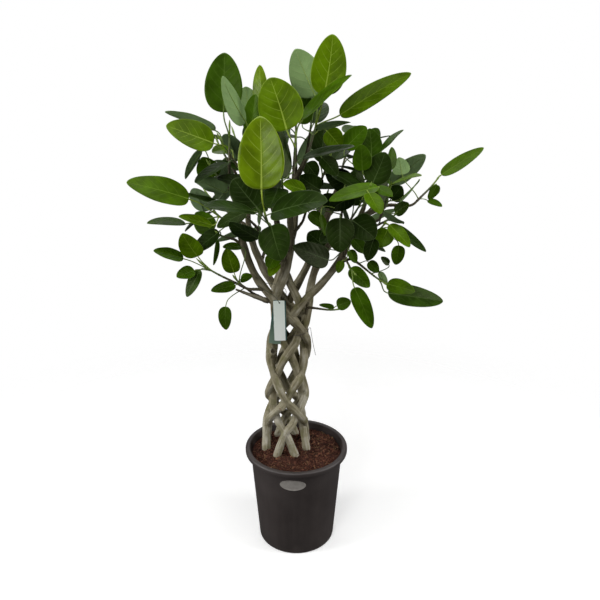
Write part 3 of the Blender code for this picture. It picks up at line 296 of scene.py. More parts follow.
# The shoots that show, in millimetres: where each leaves its twig and where it ends, then each
# leaf's blade from stalk to tip, its width, the way its upper side faces, and its tone
SHOOTS = {
    "crown_left": ("young_leaf", (-155, -70, 1080), (-150, -80, 1160), [
        (-160, -100, 1200, -155, -80, 1325, 84, (0, -1, 0.1), 0.55),
    ]),
    "crown_inner": ("young_leaf", (-100, -70, 1080), (-105, -90, 1160), [
        (-108, -135, 1180, -150, -195, 1272, 62, (-0.95, 0.02, 0.4), 0.4),
        (-105, -50, 1185, -115, -30, 1255, 65, (-0.2, 0.9, 0.2), 0.35),
        (-72, -60, 1200, -83, -30, 1302, 50, (-0.6, -0.75, 0), 0.05),
        (-98, -100, 1151, -86, -115, 1239, 48, (-0.4, -0.9, 0.1), 0.45),
    ]),
    "crown_centre": ("young_leaf", (-5, -120, 1065), (0, -130, 1140), [
        (-18, -160, 1165, -54, -130, 1272, 96, (0, -0.95, 0.2), 0.1),
        (-30, -150, 1060, -40, -130, 1170, 64, (0.75, -0.6, 0.1), 0.7),
        (15, -120, 1185, 120, -120, 1280, 80, (-0.6, -0.25, 0.75), 0.4),
        (17, -100, 1101, 132, -130, 1128, 56, (0.1, -0.3, 0.95), 0.85),
    ]),
    "crown_top": ("young_leaf", (30, -50, 1110), (50, -50, 1180), [
        (45, -50, 1235, 0, -30, 1335, 80, (0.1, 0.95, 0.1), 0.4),
        (64, -80, 1237, 83, -60, 1364, 78, (0, -1, 0.1), 0.12),
        (101, -80, 1194, 249, -120, 1282, 48, (0.1, -0.9, 0.4), 0.2),
        (55, -60, 1160, 120, -110, 1190, 60, (-0.2, 0.35, 0.9), 0.75),
        (75, 0, 1155, 110, 0, 1115, 50, (0.1, -0.9, 0.3), 0.2),
        (62, -70, 1098, 96, -90, 1060, 44, (0.3, -0.8, 0.5), 0.8),
        (15, -30, 1172, 29, -20, 1237, 46, (-0.2, -0.9, 0.2), 0.5),
        (25, -20, 1081, 51, -30, 1049, 44, (0.2, -0.8, 0.5), 0.85),
    ]),
    "left_upper": ("young_leaf", (-135, -50, 1075), (-170, -80, 1135), [
        (-185, -60, 1160, -295, -80, 1200, 70, (-0.1, 0.3, 0.95), 0.5),
        (-182, -120, 1135, -279, -150, 1174, 75, (-0.1, -0.7, 0.65), 0.12),
        (-155, -100, 1090, -225, -140, 1050, 70, (-0.3, -0.2, 0.95), 0.95),
        (-155, -40, 1115, -195, -60, 1110, 50, (0, -0.4, 0.9), 0.2),
    ]),
    "left_inner": ("old_leaf", (-160, -20, 1015), (-205, -20, 1070), [
        (-205, 0, 1045, -225, -20, 1095, 60, (-0.2, -0.9, 0.3), 0.45),
        (-225, -20, 1110, -247, -40, 1036, 42, (-0.9, 0.3, 0.2), 0.5),
        (-170, -50, 1015, -235, -80, 1050, 70, (0.1, 0.6, 0.75), 0.6),
        (-225, -30, 965, -240, -50, 1030, 60, (0.3, 0.85, 0.2), 0.95),
    ]),
    "far_left": ("young_leaf", (-155, -50, 935), (-185, -80, 965), [
        (-245, -120, 1011, -373, -160, 1054, 70, (0, -0.7, 0.7), 0.3),
        (-260, -100, 950, -340, -140, 960, 50, (0, -0.25, 1), 0.45),
        (-195, -120, 950, -265, -150, 975, 50, (0.1, -0.3, 0.95), 0.15),
        (-205, -50, 920, -245, -40, 965, 55, (-0.2, -0.9, 0.2), 0.45),
    ]),
    "front": ("young_leaf", (-50, -80, 915), (-65, -210, 990), [
        (-70, -240, 1050, -71, -220, 1196, 96, (0, -1, 0.15), 0.0),
        (-83, -220, 1010, -132, -200, 1066, 80, (0.25, -0.6, 0.65), 0.9),
        (-88, -250, 1006, -194, -300, 1023, 62, (0, -0.28, 1), 0.8),
        (-50, -240, 1000, 65, -280, 1035, 88, (0.05, -0.5, 0.85), 0.85),
        (-53, -200, 965, -30, -250, 900, 72, (-0.2, -0.85, 0.4), 0.75),
        (-82, -180, 931, -136, -220, 980, 62, (-0.5, -0.75, -0.1), 0.9),
        (-111, -160, 988, -175, -180, 958, 36, (-0.3, -0.8, 0.5), 0.85),
    ]),
    "low_left": ("young_leaf", (-135, -40, 775), (-225, -100, 850), [
        (-235, -100, 870, -265, -120, 930, 55, (-0.2, -0.95, 0.1), 0.2),
        (-270, -100, 865, -335, -120, 890, 40, (0, -0.5, 0.85), 0.45),
        (-245, -100, 835, -285, -120, 825, 40, (0, -0.6, 0.8), 0.45),
        (-231, -100, 836, -275, -130, 785, 38, (-0.5, -0.75, 0.4), 0.65),
    ]),
    "low_left_dark": ("old_leaf", (-160, -20, 895), (-185, -70, 915), [
        (-184, -80, 925, -242, -100, 868, 52, (-0.4, -0.6, 0.7), 0.9),
        (-190, -80, 905, -200, -90, 845, 35, (0.95, -0.2, 0.1), 0.5),
    ]),
    "twig_left": ("young_leaf", (-120, 0, 750), (-150, -50, 795), [
        (-155, -50, 815, -170, -60, 880, 45, (-0.1, -0.95, 0.1), 0.2),
        (-140, -40, 795, -110, -50, 805, 30, (0, -0.6, 0.8), 0.45),
        (-149, -90, 795, -204, -120, 789, 34, (0, -0.6, 0.8), 0.5),
        (-180, -50, 725, -180, -60, 665, 36, (-0.2, -0.95, 0.1), 0.5),
        (-136, -45, 880, -178, -65, 877, 34, (0, -0.4, 0.9), 0.55),
    ]),
    "right_upper": ("young_leaf", (170, -30, 980), (185, -40, 1060), [
        (120, 0, 1115, 170, 0, 1165, 60, (-0.4, -0.7, 0.5), 0.45),
        (185, 0, 1090, 180, 20, 1160, 55, (0.2, -0.9, 0.3), 0.6),
        (155, -80, 1070, 150, -80, 1130, 45, (0, -1, 0.1), 0.45),
        (180, -80, 1040, 210, -60, 1110, 65, (-0.3, -0.9, 0.2), 0.8),
        (225, -45, 1068, 227, -45, 1121, 34, (0.6, -0.75, 0.1), 0.5),
        (205, -20, 1110, 255, -20, 1160, 45, (-0.6, -0.15, 0.75), 0.6),
        (180, 20, 1128, 204, 30, 1160, 36, (0.1, -0.9, 0.2), 0.65),
    ]),
    "right_arch": ("young_leaf", (145, -80, 950), (165, -150, 1035), [
        (183, -160, 1044, 74, -190, 1018, 50, (-0.1, -0.45, 0.9), 0.35),
        (160, -190, 1035, 170, -235, 997, 42, (0.3, -0.9, 0.2), 0.28),
        (180, -150, 1040, 215, -170, 1025, 32, (0.2, -0.6, 0.75), 0.45),
    ]),
    "far_right": ("young_leaf", (310, 40, 980), (355, 50, 1025), [
        (370, 50, 1045, 480, 80, 1110, 36, (-0.35, -0.85, 0.45), 0.35),
        (360, 50, 1020, 345, 60, 980, 35, (0.5, -0.8, 0.1), 0.5),
        (340, 50, 980, 380, 50, 975, 30, (0, -0.4, 0.9), 0.5),
        (270, 50, 1045, 265, 80, 1085, 45, (0.1, 0.95, 0.1), 0.4),
    ]),
    "right_front": ("young_leaf", (210, -30, 955), (225, -50, 1020), [
        (225, -60, 1035, 285, -120, 1065, 50, (0, -0.3, 0.95), 0.2),
        (250, -60, 1000, 280, -130, 1055, 45, (0.4, -0.75, 0.5), 0.4),
        (243, -40, 964, 272, -60, 989, 32, (0, -0.8, 0.5), 0.45),
        (233, -30, 996, 256, -40, 1029, 44, (0, -0.85, 0.4), 0.85),
    ]),
    "right_low": ("young_leaf", (180, -40, 905), (205, -110, 945), [
        (215, -120, 940, 195, -130, 900, 45, (-0.1, -0.95, 0.2), 0.32),
        (215, -140, 955, 260, -170, 910, 36, (0.4, -0.8, 0.4), 0.25),
        (255, -50, 885, 250, -50, 835, 35, (0.1, -0.95, 0.1), 0.42),
    ]),
    "right_dark": ("old_leaf", (120, -30, 860), (110, -130, 945), [
        (100, -160, 975, 100, -180, 900, 65, (-0.2, -0.95, 0.2), 0.9),
        (130, -140, 965, 180, -170, 930, 70, (0.2, -0.85, 0.45), 0.92),
        (180, -150, 925, 165, -160, 875, 36, (0.2, -0.95, 0.1), 0.88),
        (80, -80, 855, -5, -140, 903, 58, (0, -0.9, 0.4), 1.0),
        (70, -40, 880, 30, -40, 915, 55, (0, -0.95, 0.2), 0.85),
    ]),
    "low_right": ("young_leaf", (125, -20, 845), (140, -50, 820), [
        (135, -50, 825, 185, -60, 780, 42, (0.2, -0.85, 0.5), 0.45),
        (145, -80, 785, 190, -100, 685, 44, (-0.2, -0.95, 0.3), 0.45),
        (141, -50, 901, 171, -60, 868, 34, (0.2, -0.85, 0.4), 0.6),
        (133, -60, 876, 148, -70, 845, 24, (0.2, -0.85, 0.4), 0.45),
        (116, -30, 840, 106, -40, 811, 22, (-0.2, -0.9, 0.3), 0.3),
    ]),
    "low_far_right": ("old_leaf", (155, 0, 830), (230, -30, 780), [
        (230, -50, 785, 295, -80, 775, 44, (0, -0.7, 0.7), 0.35),
        (241, 0, 745, 397, 40, 709, 62, (0, -0.75, 0.65), 0.65),
        (185, -20, 835, 210, -30, 810, 30, (0.3, -0.8, 0.4), 0.6),
        (213, -20, 808, 233, -30, 776, 22, (0.4, 0.8, 0.3), 0.5),
        (237, -20, 829, 215, -30, 850, 18, (-0.2, -0.8, 0.5), 0.8),
    ]),
    "low_stub": ("old_leaf", (42, 0, 704), (100, -20, 704), [
        (106, -30, 720, 142, -30, 733, 34, (0, -0.9, 0.4), 0.5),
        (99, -20, 713, 60, -20, 719, 16, (0, -0.6, 0.8), 0.6),
    ]),
    "centre_dark": ("old_leaf", (115, 10, 945), (120, 0, 1005), [
        (137, 30, 1019, 74, 0, 1058, 56, (-0.3, -0.85, 0.3), 0.95),
        (140, 0, 999, 84, -30, 969, 54, (-0.3, -0.8, 0.5), 1.0),
        (33, -20, 960, 77, -30, 924, 36, (0.2, -0.8, 0.5), 0.5),
        (60, -90, 968, 70, -100, 920, 18, (0.5, -0.8, 0.2), 0.4),
        (95, 0, 979, 63, 0, 999, 40, (-0.2, -0.8, 0.5), 0.95),
    ]),
    "centre_mid": ("old_leaf", (20, -10, 945), (35, -60, 1005), [
        (24, -120, 1029, -27, -150, 1049, 44, (-0.2, -0.7, 0.7), 0.2),
        (58, -60, 1023, 10, -70, 1056, 50, (-0.1, -0.8, 0.5), 0.85),
        (10, 20, 1016, 65, 0, 1038, 50, (0.1, -0.9, 0.3), 0.95),
    ]),
    "centre_small": ("young_leaf", (-35, -40, 875), (-45, -65, 865), [
        (-50, -70, 865, -65, -100, 840, 40, (-0.2, -0.9, 0.3), 0.4),
        (-45, -60, 845, -65, -80, 815, 30, (-0.2, -0.8, 0.5), 0.15),
    ]),
}

# The shoots behind and inside the crown, in millimetres, whose leaves follow the spiral rule:
# root, tip, count, and which of the leaves have fallen, counted from the tip
RULED_SHOOTS = {
    "back_top": ((0, 60, 1100), (0, 80, 1200), 5, (4,)),
    "back_left_high": ((-120, 80, 1050), (-160, 110, 1140), 5, (0,)),
    "back_left": ((-170, 100, 930), (-240, 140, 980), 5, (1,)),
    "back_mid": ((0, 140, 980), (0, 220, 1040), 5, ()),
    "back_right_high": ((120, 100, 1050), (140, 130, 1130), 5, (1,)),
    "back_right": ((200, 100, 950), (250, 130, 1000), 5, (4,)),
    "back_low_left": ((-90, 130, 860), (-130, 200, 880), 4, (3,)),
    "back_low_right": ((120, 130, 860), (170, 190, 880), 4, ()),
    "inner_right": ((215, 20, 1010), (230, 10, 1085), 5, (0, 1, 3)),
    "inner_centre": ((60, 0, 1030), (80, -30, 1090), 7, (1,)),
    "inner_left": ((-70, 20, 1000), (-90, 0, 1060), 5, ()),
    "right_middle": ((200, -10, 925), (235, -35, 950), 4, (0,)),
    "inner_left_low": ((-100, -30, 930), (-140, -60, 980), 4, (3,)),
    "inner_front": ((-30, -75, 1000), (-30, -105, 1050), 5, ()),
    "inner_top": ((30, 20, 1120), (40, 10, 1190), 5, (0, 2)),
    "left_dark": ((-150, 30, 1050), (-190, 30, 1120), 4, (0, 1, 2)),
    "right_inner_low": ((130, 20, 920), (160, -10, 980), 6, ()),
    "back_centre": ((-60, 110, 1000), (-80, 160, 1070), 4, ()),
    "back_middle": ((60, 130, 930), (85, 190, 970), 3, ()),
}
RULED_LENGTH = (0.090, 0.130)
RULED_PROPORTION = (0.48, 0.58)
RULED_STALK = (0.022, 0.036)
RULED_DROOP = 0.45
RULED_SPREAD = (38.0, 78.0)
RULED_REACH = 0.85
RULED_LIFT = 0.8
RULED_SEED = 7
RULED_TONES = (0.60, 1.0)


def between(low, high, share):
    """The value that lies a share of the way from low to high."""
    return low + (high - low) * share


def metres(point):
    """A point given in millimetres."""
    return Vector([value / 1000 for value in point])


def smooth_route(points, pieces):
    """A smooth curve through the points, with a number of pieces from each to the next."""
    spots = [Vector(p) for p in points]
    ends = [2 * spots[0] - spots[1]] + spots + [2 * spots[-1] - spots[-2]]
    route = []
    for i in range(1, len(ends) - 2):
        a, b, c, d = ends[i - 1:i + 3]
        for k in range(pieces):
            t = k / pieces
            route.append(0.5 * (2 * b + (c - a) * t + (2 * a - 5 * b + 4 * c - d) * t ** 2
                                + (3 * b - a - 3 * c + d) * t ** 3))
    return route + [spots[-1]]


def bent_route(start, end, leaving, arriving, pieces):
    """A curve from start to end with the given directions, pull in its length, at its ends."""
    pull = (end - start).length
    out, back = leaving.normalized() * pull, arriving.normalized() * pull
    route = []
    for k in range(pieces + 1):
        t = k / pieces
        route.append(start * (2 * t ** 3 - 3 * t ** 2 + 1) + out * (t ** 3 - 2 * t ** 2 + t)
                     + end * (3 * t ** 2 - 2 * t ** 3) + back * (t ** 3 - t ** 2))
    return route


def braid_point(hand, index, crossing):
    """Where a stem's middle is, a number of crossings up the braid."""
    low, high = next((a, b) for a, b in zip(BRAID, BRAID[1:]) if crossing <= b[1])
    share = (crossing - low[1]) / (high[1] - low[1])
    height = between(low[0], high[0], share)
    # Stems of one hand weave in and out. Those of the other stay in, or out, by turns.
    if hand > 0:
        weave = math.cos(math.pi * (crossing + index))
    else:
        weave = -math.cos(math.pi * index)
    inside = max(0.0, min(1.0, crossing + 0.5))
    radius = between(low[2], high[2], share) + WEAVE * weave * inside
    angle = math.radians(90 * index - 90 + hand * TURN_PER_CROSSING * crossing)
    return Vector((between(low[3], high[3], share) + radius * math.cos(angle),
                   BRAID_DEPTH + radius * math.sin(angle), height))


def stem_route(branch):
    """A stem from its foot in the soil, up the braid and along its branch."""
    first, last = BRAID[0][1], BRAID[-1][1]
    marks = [first + 0.5 * k for k in range(round((last - first) / 0.5) + 1)]
    braided = [braid_point(branch.hand, branch.index, m) for m in marks]
    foot = [Vector((braided[0].x, braided[0].y, z)) for z in (STEM_FOOT, STEM_UPRIGHT_TO)]
    return foot + braided[:-1] + [metres(p) for p in branch.points]


def stem_radii(route):
    """The stem's radius along its route: even up the braid, then thinning to the branch's tip."""
    start = STEM_POINTS_BELOW_BRANCH
    radii = []
    for k in range(len(route)):
        if k < start:
            radii.append(between(FOOT_RADIUS, STEM_RADIUS, min(1.0, k / 3)))
        else:
            share = (k - start) / (len(route) - 1 - start)
            radii.append(between(BRANCH_RADIUS, BRANCH_TIP_RADIUS, share))
    return radii


def heading_of(shoot):
    """The way a shoot grows."""
    return (shoot.tip - shoot.root).normalized()


def twig_route(stems, shoot, pieces=2):
    """A woody twig from the nearest branch to a shoot's root, ending along the shoot."""
    heading = heading_of(shoot)
    aim = shoot.root - Vector((0, 0, TWIG_LEAVES_BELOW))
    wood = [p for route in stems for p in smooth_route(route[STEM_POINTS_BELOW_BRANCH:], 4)]
    start = min(wood, key=lambda p: (p - aim).length)
    last = shoot.root - heading * SHOOT_START
    leaving = (last - start) + Vector((0, 0, TWIG_RISE))
    return bent_route(start, last, leaving, heading, pieces) + [shoot.root]


def ruled_leaves(root, tip, count, draw):
    """Leaves in a spiral round a shoot, the lower ones held further out."""
    heading = (tip - root).normalized()
    side = heading.orthogonal().normalized()
    leaves = []
    turn = draw.uniform(0, 360)
    for k in range(count):
        on = between(tip, root, RULED_REACH * k / count)
        out = Matrix.Rotation(math.radians(turn + LEAF_TURN * k), 3, heading) @ side
        spread = math.radians(between(*RULED_SPREAD, k / count))
        aim = heading * math.cos(spread) + out * math.sin(spread)
        aim = (aim + Vector((0, 0, draw.uniform(-RULED_DROOP, 0.0)))).normalized()
        length = draw.uniform(*RULED_LENGTH)
        base = on + aim * draw.uniform(*RULED_STALK)
        leaves.append(Leaf(base, base + aim * length, length * draw.uniform(*RULED_PROPORTION),
                           heading + Vector((0, 0, RULED_LIFT)),
                           between(*RULED_TONES, k / count)))
    return leaves


def all_shoots():
    """Every shoot of both tables, with its points in metres."""
    shoots = {}
    for name, (colour, root, tip, rows) in SHOOTS.items():
        leaves = [Leaf(metres(row[:3]), metres(row[3:6]), row[6] / 1000, Vector(row[7]), row[8])
                  for row in rows]
        shoots[name] = Shoot(metres(root), metres(tip), colour, leaves)
    draw = random.Random(RULED_SEED)
    for name, (root, tip, count, fallen) in RULED_SHOOTS.items():
        root, tip = metres(root), metres(tip)
        leaves = ruled_leaves(root, tip, count, draw)
        leaves = [leaf for k, leaf in enumerate(leaves) if k not in fallen]
        shoots[name] = Shoot(root, tip, "old_leaf", leaves)
    return shoots


def shoot_route(shoot, pieces=3):
    """A green shoot from its root to its bud, which turns up a little."""
    heading = heading_of(shoot)
    lift = heading + Vector((0, 0, BUD_LIFT))
    start = shoot.root + heading * SHOOT_START
    bud = shoot.tip + lift.normalized() * BUD_LENGTH
    return [shoot.root] + bent_route(start, bud, heading, lift, pieces)


def stalk_route(shoot, leaf, pieces=2):
    """A leaf's stalk, from a little before the point of the shoot that is nearest to its blade."""
    route = shoot_route(shoot)[1:-1]
    heading = heading_of(shoot)
    aim = leaf.base - heading * STALK_SETBACK
    spots = [between(a, b, t / 4) for a, b in zip(route, route[1:]) for t in range(5)]
    start = min(spots, key=lambda p: (p - aim).length)
    out = (leaf.base - start) + heading * STALK_LEAN
    return bent_route(start, leaf.base, out, leaf.tip - leaf.base, pieces)


def blade_axes(leaf):
    """The blade's own directions: along it, across it, and out of its upper side."""
    along = (leaf.tip - leaf.base).normalized()
    up = (leaf.face - along * leaf.face.dot(along)).normalized()
    return along, along.cross(up), up


def blade_point(leaf, u, v):
    """A point of the blade, u of the way to its tip and v of the way to its edge."""
    along, across, up = blade_axes(leaf)
    length = (leaf.tip - leaf.base).length
    s = u ** BLADE_WIDEST
    half = 0.5 * leaf.width * (4 * s * (1 - s)) ** BLADE_FULLNESS
    lift = BLADE_FOLD * half * abs(v) + BLADE_ARCH * length * 4 * u * (1 - u)
    return leaf.base + along * (u * length) + across * (v * half) + up * lift


def blade_rows(count):
    """How far along the blade each of its rows of points lies, closer at its ends."""
    return [0.5 - 0.5 * math.cos(math.pi * k / count) for k in range(count + 1)]


def slab_of(leaf):
    """The space that a blade needs: its sheet, moved a little to each side."""
    up = blade_axes(leaf)[2]
    points, faces = [], []
    for side in (-1, 1):
        start = len(points)
        for u in blade_rows(BLADE_ROWS):
            for v in (-1, 0, 1):
                points.append(blade_point(leaf, u, v) + up * side * BLADE_ROOM)
        for row in range(BLADE_ROWS):
            for column in range(2):
                k = start + 3 * row + column
                faces += [(k, k + 1, k + 4), (k, k + 4, k + 3)]
    return BVHTree.FromPolygons(points, faces)


def path_of(route, radius):
    """The space that a twig or stalk needs: a three-sided rod round its route."""
    points, faces = [], []
    for k, spot in enumerate(route):
        heading = (route[min(k + 1, len(route) - 1)] - route[max(k - 1, 0)]).normalized()
        side = heading.orthogonal().normalized()
        for turn in range(3):
            out = Matrix.Rotation(math.radians(120 * turn), 3, heading) @ side
            points.append(spot + out * radius)
        if k:
            for turn in range(3):
                a, b = 3 * k + turn, 3 * k + (turn + 1) % 3
                faces += [(a, b, b - 3), (a, b - 3, a - 3)]
    return BVHTree.FromPolygons(points, faces)


def bends():
    """Turns to try on a leaf that is in the way, in degrees, the smallest first."""
    reach = range(-BEND_LIMIT, BEND_LIMIT + 1)
    turns = [(nod * BEND_STEP, swing * BEND_STEP) for nod in reach for swing in reach]
    return sorted(turns, key=lambda t: t[0] ** 2 + t[1] ** 2)


def bent(leaf, nod, swing):
    """The leaf turned about its base, up or down and to a side."""
    along, across, up = blade_axes(leaf)
    turn = (Matrix.Rotation(math.radians(nod), 3, across)
            @ Matrix.Rotation(math.radians(swing), 3, up))
    return leaf._replace(tip=leaf.base + turn @ (leaf.tip - leaf.base), face=turn @ up)


def settled(shoots, stems):
    """The shoots with each leaf bent clear of the wood, the stalks and the leaves before it.

    A leaf that no turn brings clear is left out.
    """
    wood = [(None, path_of(route, BRANCH_RADIUS + WOOD_ROOM)) for route in stems]
    for points, first, _ in STUBS:
        wood.append((None, path_of([Vector(p) for p in points], first + WOOD_ROOM)))
    stalks = []
    for name, shoot in shoots.items():
        wood.append((None, path_of(twig_route(stems, shoot), TWIG_RADIUS + TWIG_ROOM)))
        wood.append((name, path_of(shoot_route(shoot), SHOOT_ROOM)))
        for leaf in shoot.leaves:
            stalks.append((name, path_of(stalk_route(shoot, leaf), STALK_ROOM)))
    in_way = wood + stalks
    result = {}
    for name, shoot in shoots.items():
        leaves = []
        for leaf in shoot.leaves:
            others = [tree for owner, tree in in_way if owner != name]
            for nod, swing in bends():
                tried = bent(leaf, nod, swing)
                slab = slab_of(tried)
                if not any(slab.overlap(tree) for tree in others):
                    leaves.append(tried)
                    in_way.append((name + " blades", slab))
                    break
        result[name] = shoot._replace(leaves=leaves)
    return result


class Wire:
    """A shader socket that takes part in sums, each of which adds its Math node."""

    def __init__(self, surface, socket):
        self.surface = surface
        self.socket = socket

    def maths(self, operation, *others):
        values = dict(enumerate((self, *others)))
        return self.surface.node("ShaderNodeMath", {"operation": operation}, values)

    def __add__(self, other):
        return self.maths("ADD", other)

    def __mul__(self, other):
        return self.maths("MULTIPLY", other)

    def __sub__(self, other):
        return self.maths("SUBTRACT", other)

    def __rsub__(self, other):
        return self.surface.node("ShaderNodeMath", {"operation": "SUBTRACT"}, {0: other, 1: self})

    def __abs__(self):
        return self.maths("ABSOLUTE")

    __radd__ = __add__
    __rmul__ = __mul__


class Surface:
    """A material, with one way to add any node to it."""

    def __init__(self, name, roughness=0.5, metallic=0.0, specular=0.5):
        self.made = bpy.data.materials.new(name)
        self.made.use_nodes = True
        self.tree = self.made.node_tree
        self.shader = self.tree.nodes["Principled BSDF"]
        self.shader.inputs["Roughness"].default_value = roughness
        self.shader.inputs["Metallic"].default_value = metallic
        self.shader.inputs["Specular IOR Level"].default_value = specular

    def node(self, kind, settings=None, values=None, out=0):
        """A node whose settings are made before its sockets are filled. Gives one output."""
        made = self.tree.nodes.new(kind)
        for key, value in (settings or {}).items():
            if key == "stops":
                self.set_stops(made.color_ramp, value)
            else:
                setattr(made, key, value)
        for key, value in (values or {}).items():
            self.fill(made.inputs[key], value)
        return Wire(self, made.outputs[out])

    @staticmethod
    def set_stops(ramp, stops):
        """Fills a colour ramp from pairs of place and colour."""
        while len(ramp.elements) < len(stops):
            ramp.elements.new(1.0)
        for element, (place, colour) in zip(ramp.elements, stops):
            element.position = place
            element.color = (*colour, 1)

    def fill(self, socket, value):
        """Links a socket to a wire, or sets it to a constant."""
        if isinstance(value, Wire):
            self.tree.links.new(value.socket, socket)
        elif isinstance(value, tuple) and socket.type == "RGBA":
            socket.default_value = (*value, 1)
        else:
            socket.default_value = value

    def feed(self, socket, value):
        """Fills a socket of the shader itself."""
        self.fill(self.shader.inputs[socket], value)

    def place(self):
        """Where each spot lies, in metres."""
        return self.node("ShaderNodeTexCoord", out="Object")

    def attribute(self, name, out="Fac"):
        """A number kept with the points of the mesh."""
        return self.node("ShaderNodeAttribute", {"attribute_name": name}, out=out)

    def parts(self, vector):
        """The three numbers of a vector."""
        split = self.node("ShaderNodeSeparateXYZ", values={0: vector})
        return [Wire(self, socket) for socket in split.socket.node.outputs]

    def stretched(self, vector, across, along):
        """A vector scaled by one factor across and another along."""
        values = {"Vector": vector, "Scale": (across, across, along)}
        return self.node("ShaderNodeMapping", values=values)

    def noise(self, vector, scale, detail=3.0, rough=0.5):
        values = {"Vector": vector, "Scale": scale, "Detail": detail, "Roughness": rough}
        return self.node("ShaderNodeTexNoise", values=values)

    def streaks(self, vector, across, along, detail=3.0, rough=0.5):
        """Noise drawn out one way."""
        return self.noise(self.stretched(vector, across, along), 1.0, detail, rough)

    def cells(self, vector, scale, feature="F1"):
        values = {"Vector": vector, "Scale": scale}
        return self.node("ShaderNodeTexVoronoi", {"feature": feature}, values)

    def ease(self, value, low, high, start=0.0, end=1.0):
        """A smooth step from start to end while the value goes from low to high."""
        values = {0: value, 1: low, 2: high, 3: start, 4: end}
        return self.node("ShaderNodeMapRange", {"interpolation_type": "SMOOTHSTEP"}, values)

    def stops(self, value, stops):
        """The colour that a value has on a ramp."""
        return self.node("ShaderNodeValToRGB", {"stops": stops}, {0: value})

    def blend(self, share, first, second, kind="MIX"):
        """The first colour with a share of the second."""
        settings = {"data_type": "RGBA", "blend_type": kind}
        return self.node("ShaderNodeMix", settings, {0: share, 6: first, 7: second}, 2)

    def relief(self, height, strength, distance):
        """Fine relief that is too small to model."""
        values = {"Height": height, "Strength": strength, "Distance": distance}
        self.feed("Normal", self.node("ShaderNodeBump", values=values))


def veins_of(surface):
    """How strongly a vein shows at each spot of a blade, and how far that is from its middle."""
    across, along = surface.parts(surface.node("ShaderNodeUVMap", {"uv_map": "blade"}))[:2]
    out = abs(across * 2 - 1)
    back = along * 2 - 1
    reach = (out * out + back * back).maths("SQRT")
    side = (across - 0.5).maths("SIGN")
    line = along - out * VEIN_RISE - out * out * VEIN_CURL + side * VEIN_STAGGER
    nearness = abs((line * VEIN_RATE + VEIN_START).maths("FRACT") - 0.5)
    width = surface.ease(reach, 0.1, 1.0, 0.026, 0.008)
    lateral = surface.ease(nearness - width * 0.5, 0.0, 0.020, 1.0, 0.0)
    lateral = lateral * surface.ease(reach, 0.62, 0.97, 1.0, 0.0) * surface.ease(along, 0.0, 0.04)
    lateral = lateral * surface.ease(line, -0.02, 0.0)
    rib_width = surface.ease(along, 0.0, 0.95, 0.022, 0.004)
    rib = surface.ease(out - rib_width, 0.0, 0.016, 1.0, 0.0)
    rib = rib * surface.ease(along, 0.88, 0.99, 1.0, 0.0)
    return rib.maths("MAXIMUM", lateral * 0.8), reach


def leaf_face():
    """The upper side: lime with pale yellow veins when young, deep green when old."""
    s = Surface("leaf_face", roughness=0.4, specular=0.085)
    s.shader.inputs["Specular Tint"].default_value = (0.90, 1.0, 0.45, 1)
    s.shader.inputs["Coat Roughness"].default_value = 0.24
    veins, reach = veins_of(s)
    age = s.attribute("age")
    place = s.place()
    patch = s.noise(place, 26.0, 3.0, 0.55)
    fine = s.noise(place, 420.0, 2.0, 0.6)
    green = s.stops(age, [(0.0, (0.122, 0.200, 0.0015)), (0.1, (0.082, 0.150, 0.001)),
                          (0.25, (0.062, 0.128, 0.001)), (0.45, (0.038, 0.090, 0.0015)),
                          (0.7, (0.017, 0.040, 0.003)), (1.0, (0.0075, 0.0160, 0.0022))])
    vein = s.stops(age, [(0.0, (0.330, 0.430, 0.060)), (0.3, (0.150, 0.250, 0.022)),
                         (0.7, (0.080, 0.130, 0.034)), (1.0, (0.085, 0.130, 0.050))])
    strength = s.stops(age, [(0.0, (0.95,) * 3), (0.4, (0.60,) * 3), (1.0, (0.60,) * 3)])
    shade = s.ease(patch, 0.3, 0.7, 0.68, 1.26)
    grey = s.node("ShaderNodeCombineXYZ", values={0: shade, 1: shade, 2: shade})
    green = s.blend(1.0, green, grey, "MULTIPLY")
    edge = s.ease(reach, 0.965, 0.995) * 0.55
    colour = s.blend(edge, green, vein)
    s.feed("Base Color", s.blend(veins * strength, colour, vein))
    s.feed("Roughness", s.ease(patch, 0.25, 0.75, 0.28, 0.40) + veins * 0.1)
    s.feed("Coat Weight", s.ease(age, 0.0, 0.1, 0.24, 0.02))
    mesh = s.cells(place, 330.0, "DISTANCE_TO_EDGE")
    s.relief(fine * 0.12 + s.ease(mesh, 0.0, 0.12) * 0.18 - veins * 0.8, 0.4, 0.0005)
    return s.made


def leaf_back():
    """The under side: paler and duller, with raised veins."""
    s = Surface("leaf_back", roughness=0.62, specular=0.15)
    veins = veins_of(s)[0]
    age = s.attribute("age")
    place = s.place()
    patch = s.noise(place, 30.0, 3.0, 0.5)
    green = s.stops(age, [(0.0, (0.215, 0.330, 0.075)), (0.45, (0.200, 0.310, 0.118)),
                          (1.0, (0.145, 0.215, 0.105))])
    vein = s.stops(age, [(0.0, (0.400, 0.480, 0.170)), (1.0, (0.230, 0.300, 0.170))])
    green = s.blend(s.ease(patch, 0.3, 0.7, 0.0, 0.35), green, (0.085, 0.150, 0.050))
    s.feed("Base Color", s.blend(veins * 0.75, green, vein))
    mesh = s.cells(place, 300.0, "DISTANCE_TO_EDGE")
    s.relief(veins - s.ease(mesh, 0.0, 0.12) * 0.2, 0.6, 0.0008)
    return s.made


